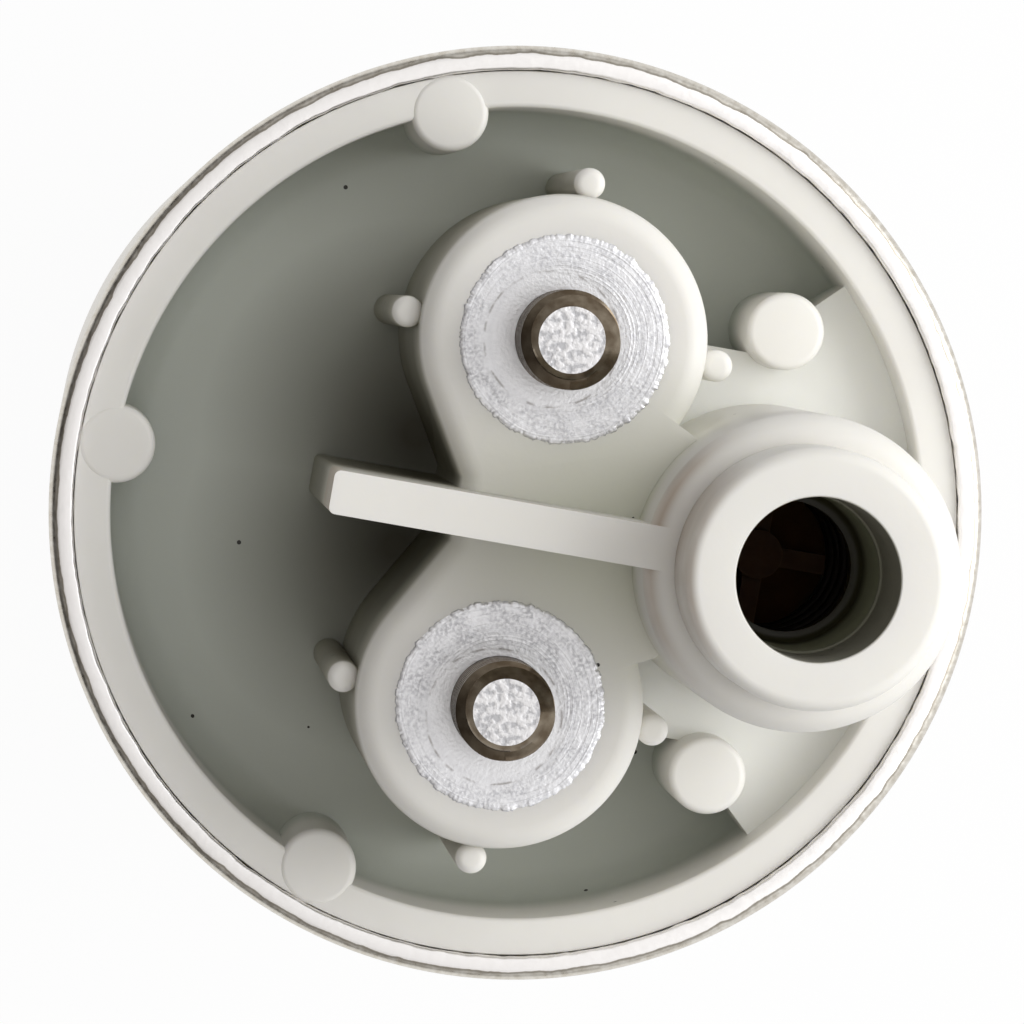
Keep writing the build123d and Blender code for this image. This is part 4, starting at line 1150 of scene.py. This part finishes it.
shape = bmesh.new()
floor_half = 3
corners = [(x * floor_half, y * floor_half) for x, y in ((-1, -1), (1, -1), (1, 1), (-1, 1))]
shape.faces.new([shape.verts.new((x, y, cad_box[0].z)) for x, y in corners])
floor = new_piece("floor", shape)
white, tree, shader = new_material("floor_white")
shader.inputs["Base Color"].default_value = (0.95, 0.95, 0.95, 1)
shader.inputs["Roughness"].default_value = 0.9
path = add_node(tree, "ShaderNodeLightPath").outputs
seen = calculate(tree, "MAXIMUM", path["Is Camera Ray"], path["Is Glossy Ray"])
seen = calculate(tree, "MAXIMUM", seen, path["Is Transmission Ray"])
glow = add_node(tree, "ShaderNodeEmission", {"Color": (1, 1, 1, 1), "Strength": 1.0})
mixed = add_node(tree, "ShaderNodeMixShader")
tree.links.new(calculate(tree, "MULTIPLY", seen, 0.95), mixed.inputs[0])
tree.links.new(shader.outputs[0], mixed.inputs[1])
tree.links.new(glow.outputs[0], mixed.inputs[2])
clear = add_node(tree, "ShaderNodeBsdfTransparent")
below = add_node(tree, "ShaderNodeMixShader")
facing = add_node(tree, "ShaderNodeNewGeometry").outputs["Backfacing"]
tree.links.new(facing, below.inputs[0])
tree.links.new(mixed.outputs[0], below.inputs[1])
tree.links.new(clear.outputs[0], below.inputs[2])
tree.links.new(below.outputs[0], tree.nodes["Material Output"].inputs["Surface"])
dress(floor, white)

level = 0.27
overhead_gain = 0.58
right_gain = 0.68
left_warmth = (1.0, 0.95, 0.9, 1)
lowest = 0.03
world = bpy.data.worlds.new("studio")
bpy.context.scene.world = world
world.use_nodes = True
tree = world.node_tree
sky = tree.nodes["Background"]
heading = add_node(tree, "ShaderNodeTexCoord").outputs["Generated"]
to_right = add_node(tree, "ShaderNodeVectorMath", operation="DOT_PRODUCT")
tree.links.new(heading, to_right.inputs[0])
to_right.inputs[1].default_value = right
upward = add_node(tree, "ShaderNodeSeparateXYZ", {"Vector": heading}).outputs["Z"]
brightness = calculate(tree, "MULTIPLY_ADD", upward, overhead_gain, level)
brightness = calculate(tree, "MULTIPLY_ADD", to_right.outputs["Value"], right_gain, brightness)
brightness = calculate(tree, "MAXIMUM", brightness, lowest)
path = add_node(tree, "ShaderNodeLightPath").outputs
mirrored = calculate(tree, "MAXIMUM", path["Is Glossy Ray"], path["Is Transmission Ray"])
mirrored = calculate(tree, "MULTIPLY", mirrored, remap(tree, upward, 0.12, 0.0))
seen = calculate(tree, "MAXIMUM", path["Is Camera Ray"], mirrored)
shaded = calculate(tree, "SUBTRACT", 1.0, seen)
warm_side = calculate(tree, "MULTIPLY", remap(tree, to_right.outputs["Value"], 0.3, -0.7), shaded)
tree.links.new(tint(tree, warm_side, (1, 1, 1, 1), left_warmth), sky.inputs["Color"])
tree.links.new(
    add_node(tree, "ShaderNodeMix", {"Factor": seen, "A": brightness, "B": 1.0}).outputs["Result"],
    sky.inputs["Strength"],
)

lamp_power = 0.2
lamp_size = 0.15
lamp_right = 0.15
lamp_up = 0.02
lamp_height = 0.125
lamp = bpy.data.lights.new("key", "AREA")
lamp.energy = lamp_power
lamp.size = lamp_size
key = bpy.data.objects.new("key", lamp)
key.location = right * lamp_right + up * lamp_up + Vector((0, 0, ring_top + lamp_height))
key.rotation_mode = "QUATERNION"
key.rotation_quaternion = (key.location - Vector((0, 0, ring_top))).to_track_quat("Z", "Y")
bpy.context.scene.collection.objects.link(key)

# The photo was taken from close above, a little to the side away from the outlet.
camera_distance = 290 * mm
pixels_per_mm = 24.66
frame_pixels = 1024
sensor = 36.0
nadir_left = 17.39 * mm
nadir_up = 9.81 * mm
camera_data = bpy.data.cameras.new("camera")
camera = bpy.data.objects.new("camera", camera_data)
bpy.context.scene.collection.objects.link(camera)
aim = Vector((0, 0, ring_top)) - right * 0.2 * mm + up * 0.07 * mm
camera.location = Vector((0, 0, ring_top + camera_distance)) - right * nadir_left + up * nadir_up
back = (camera.location - aim).normalized()
side = up.cross(back).normalized()
camera.matrix_world = Matrix.Translation(camera.location) @ Matrix(
    (side, back.cross(side), back)
).transposed().to_4x4()
camera_data.sensor_width = sensor
camera_data.lens = sensor * pixels_per_mm * (camera_distance / mm) / frame_pixels
camera_data.clip_start = 0.01
bpy.context.scene.camera = camera
bpy.context.scene.view_settings.view_transform = "Standard"
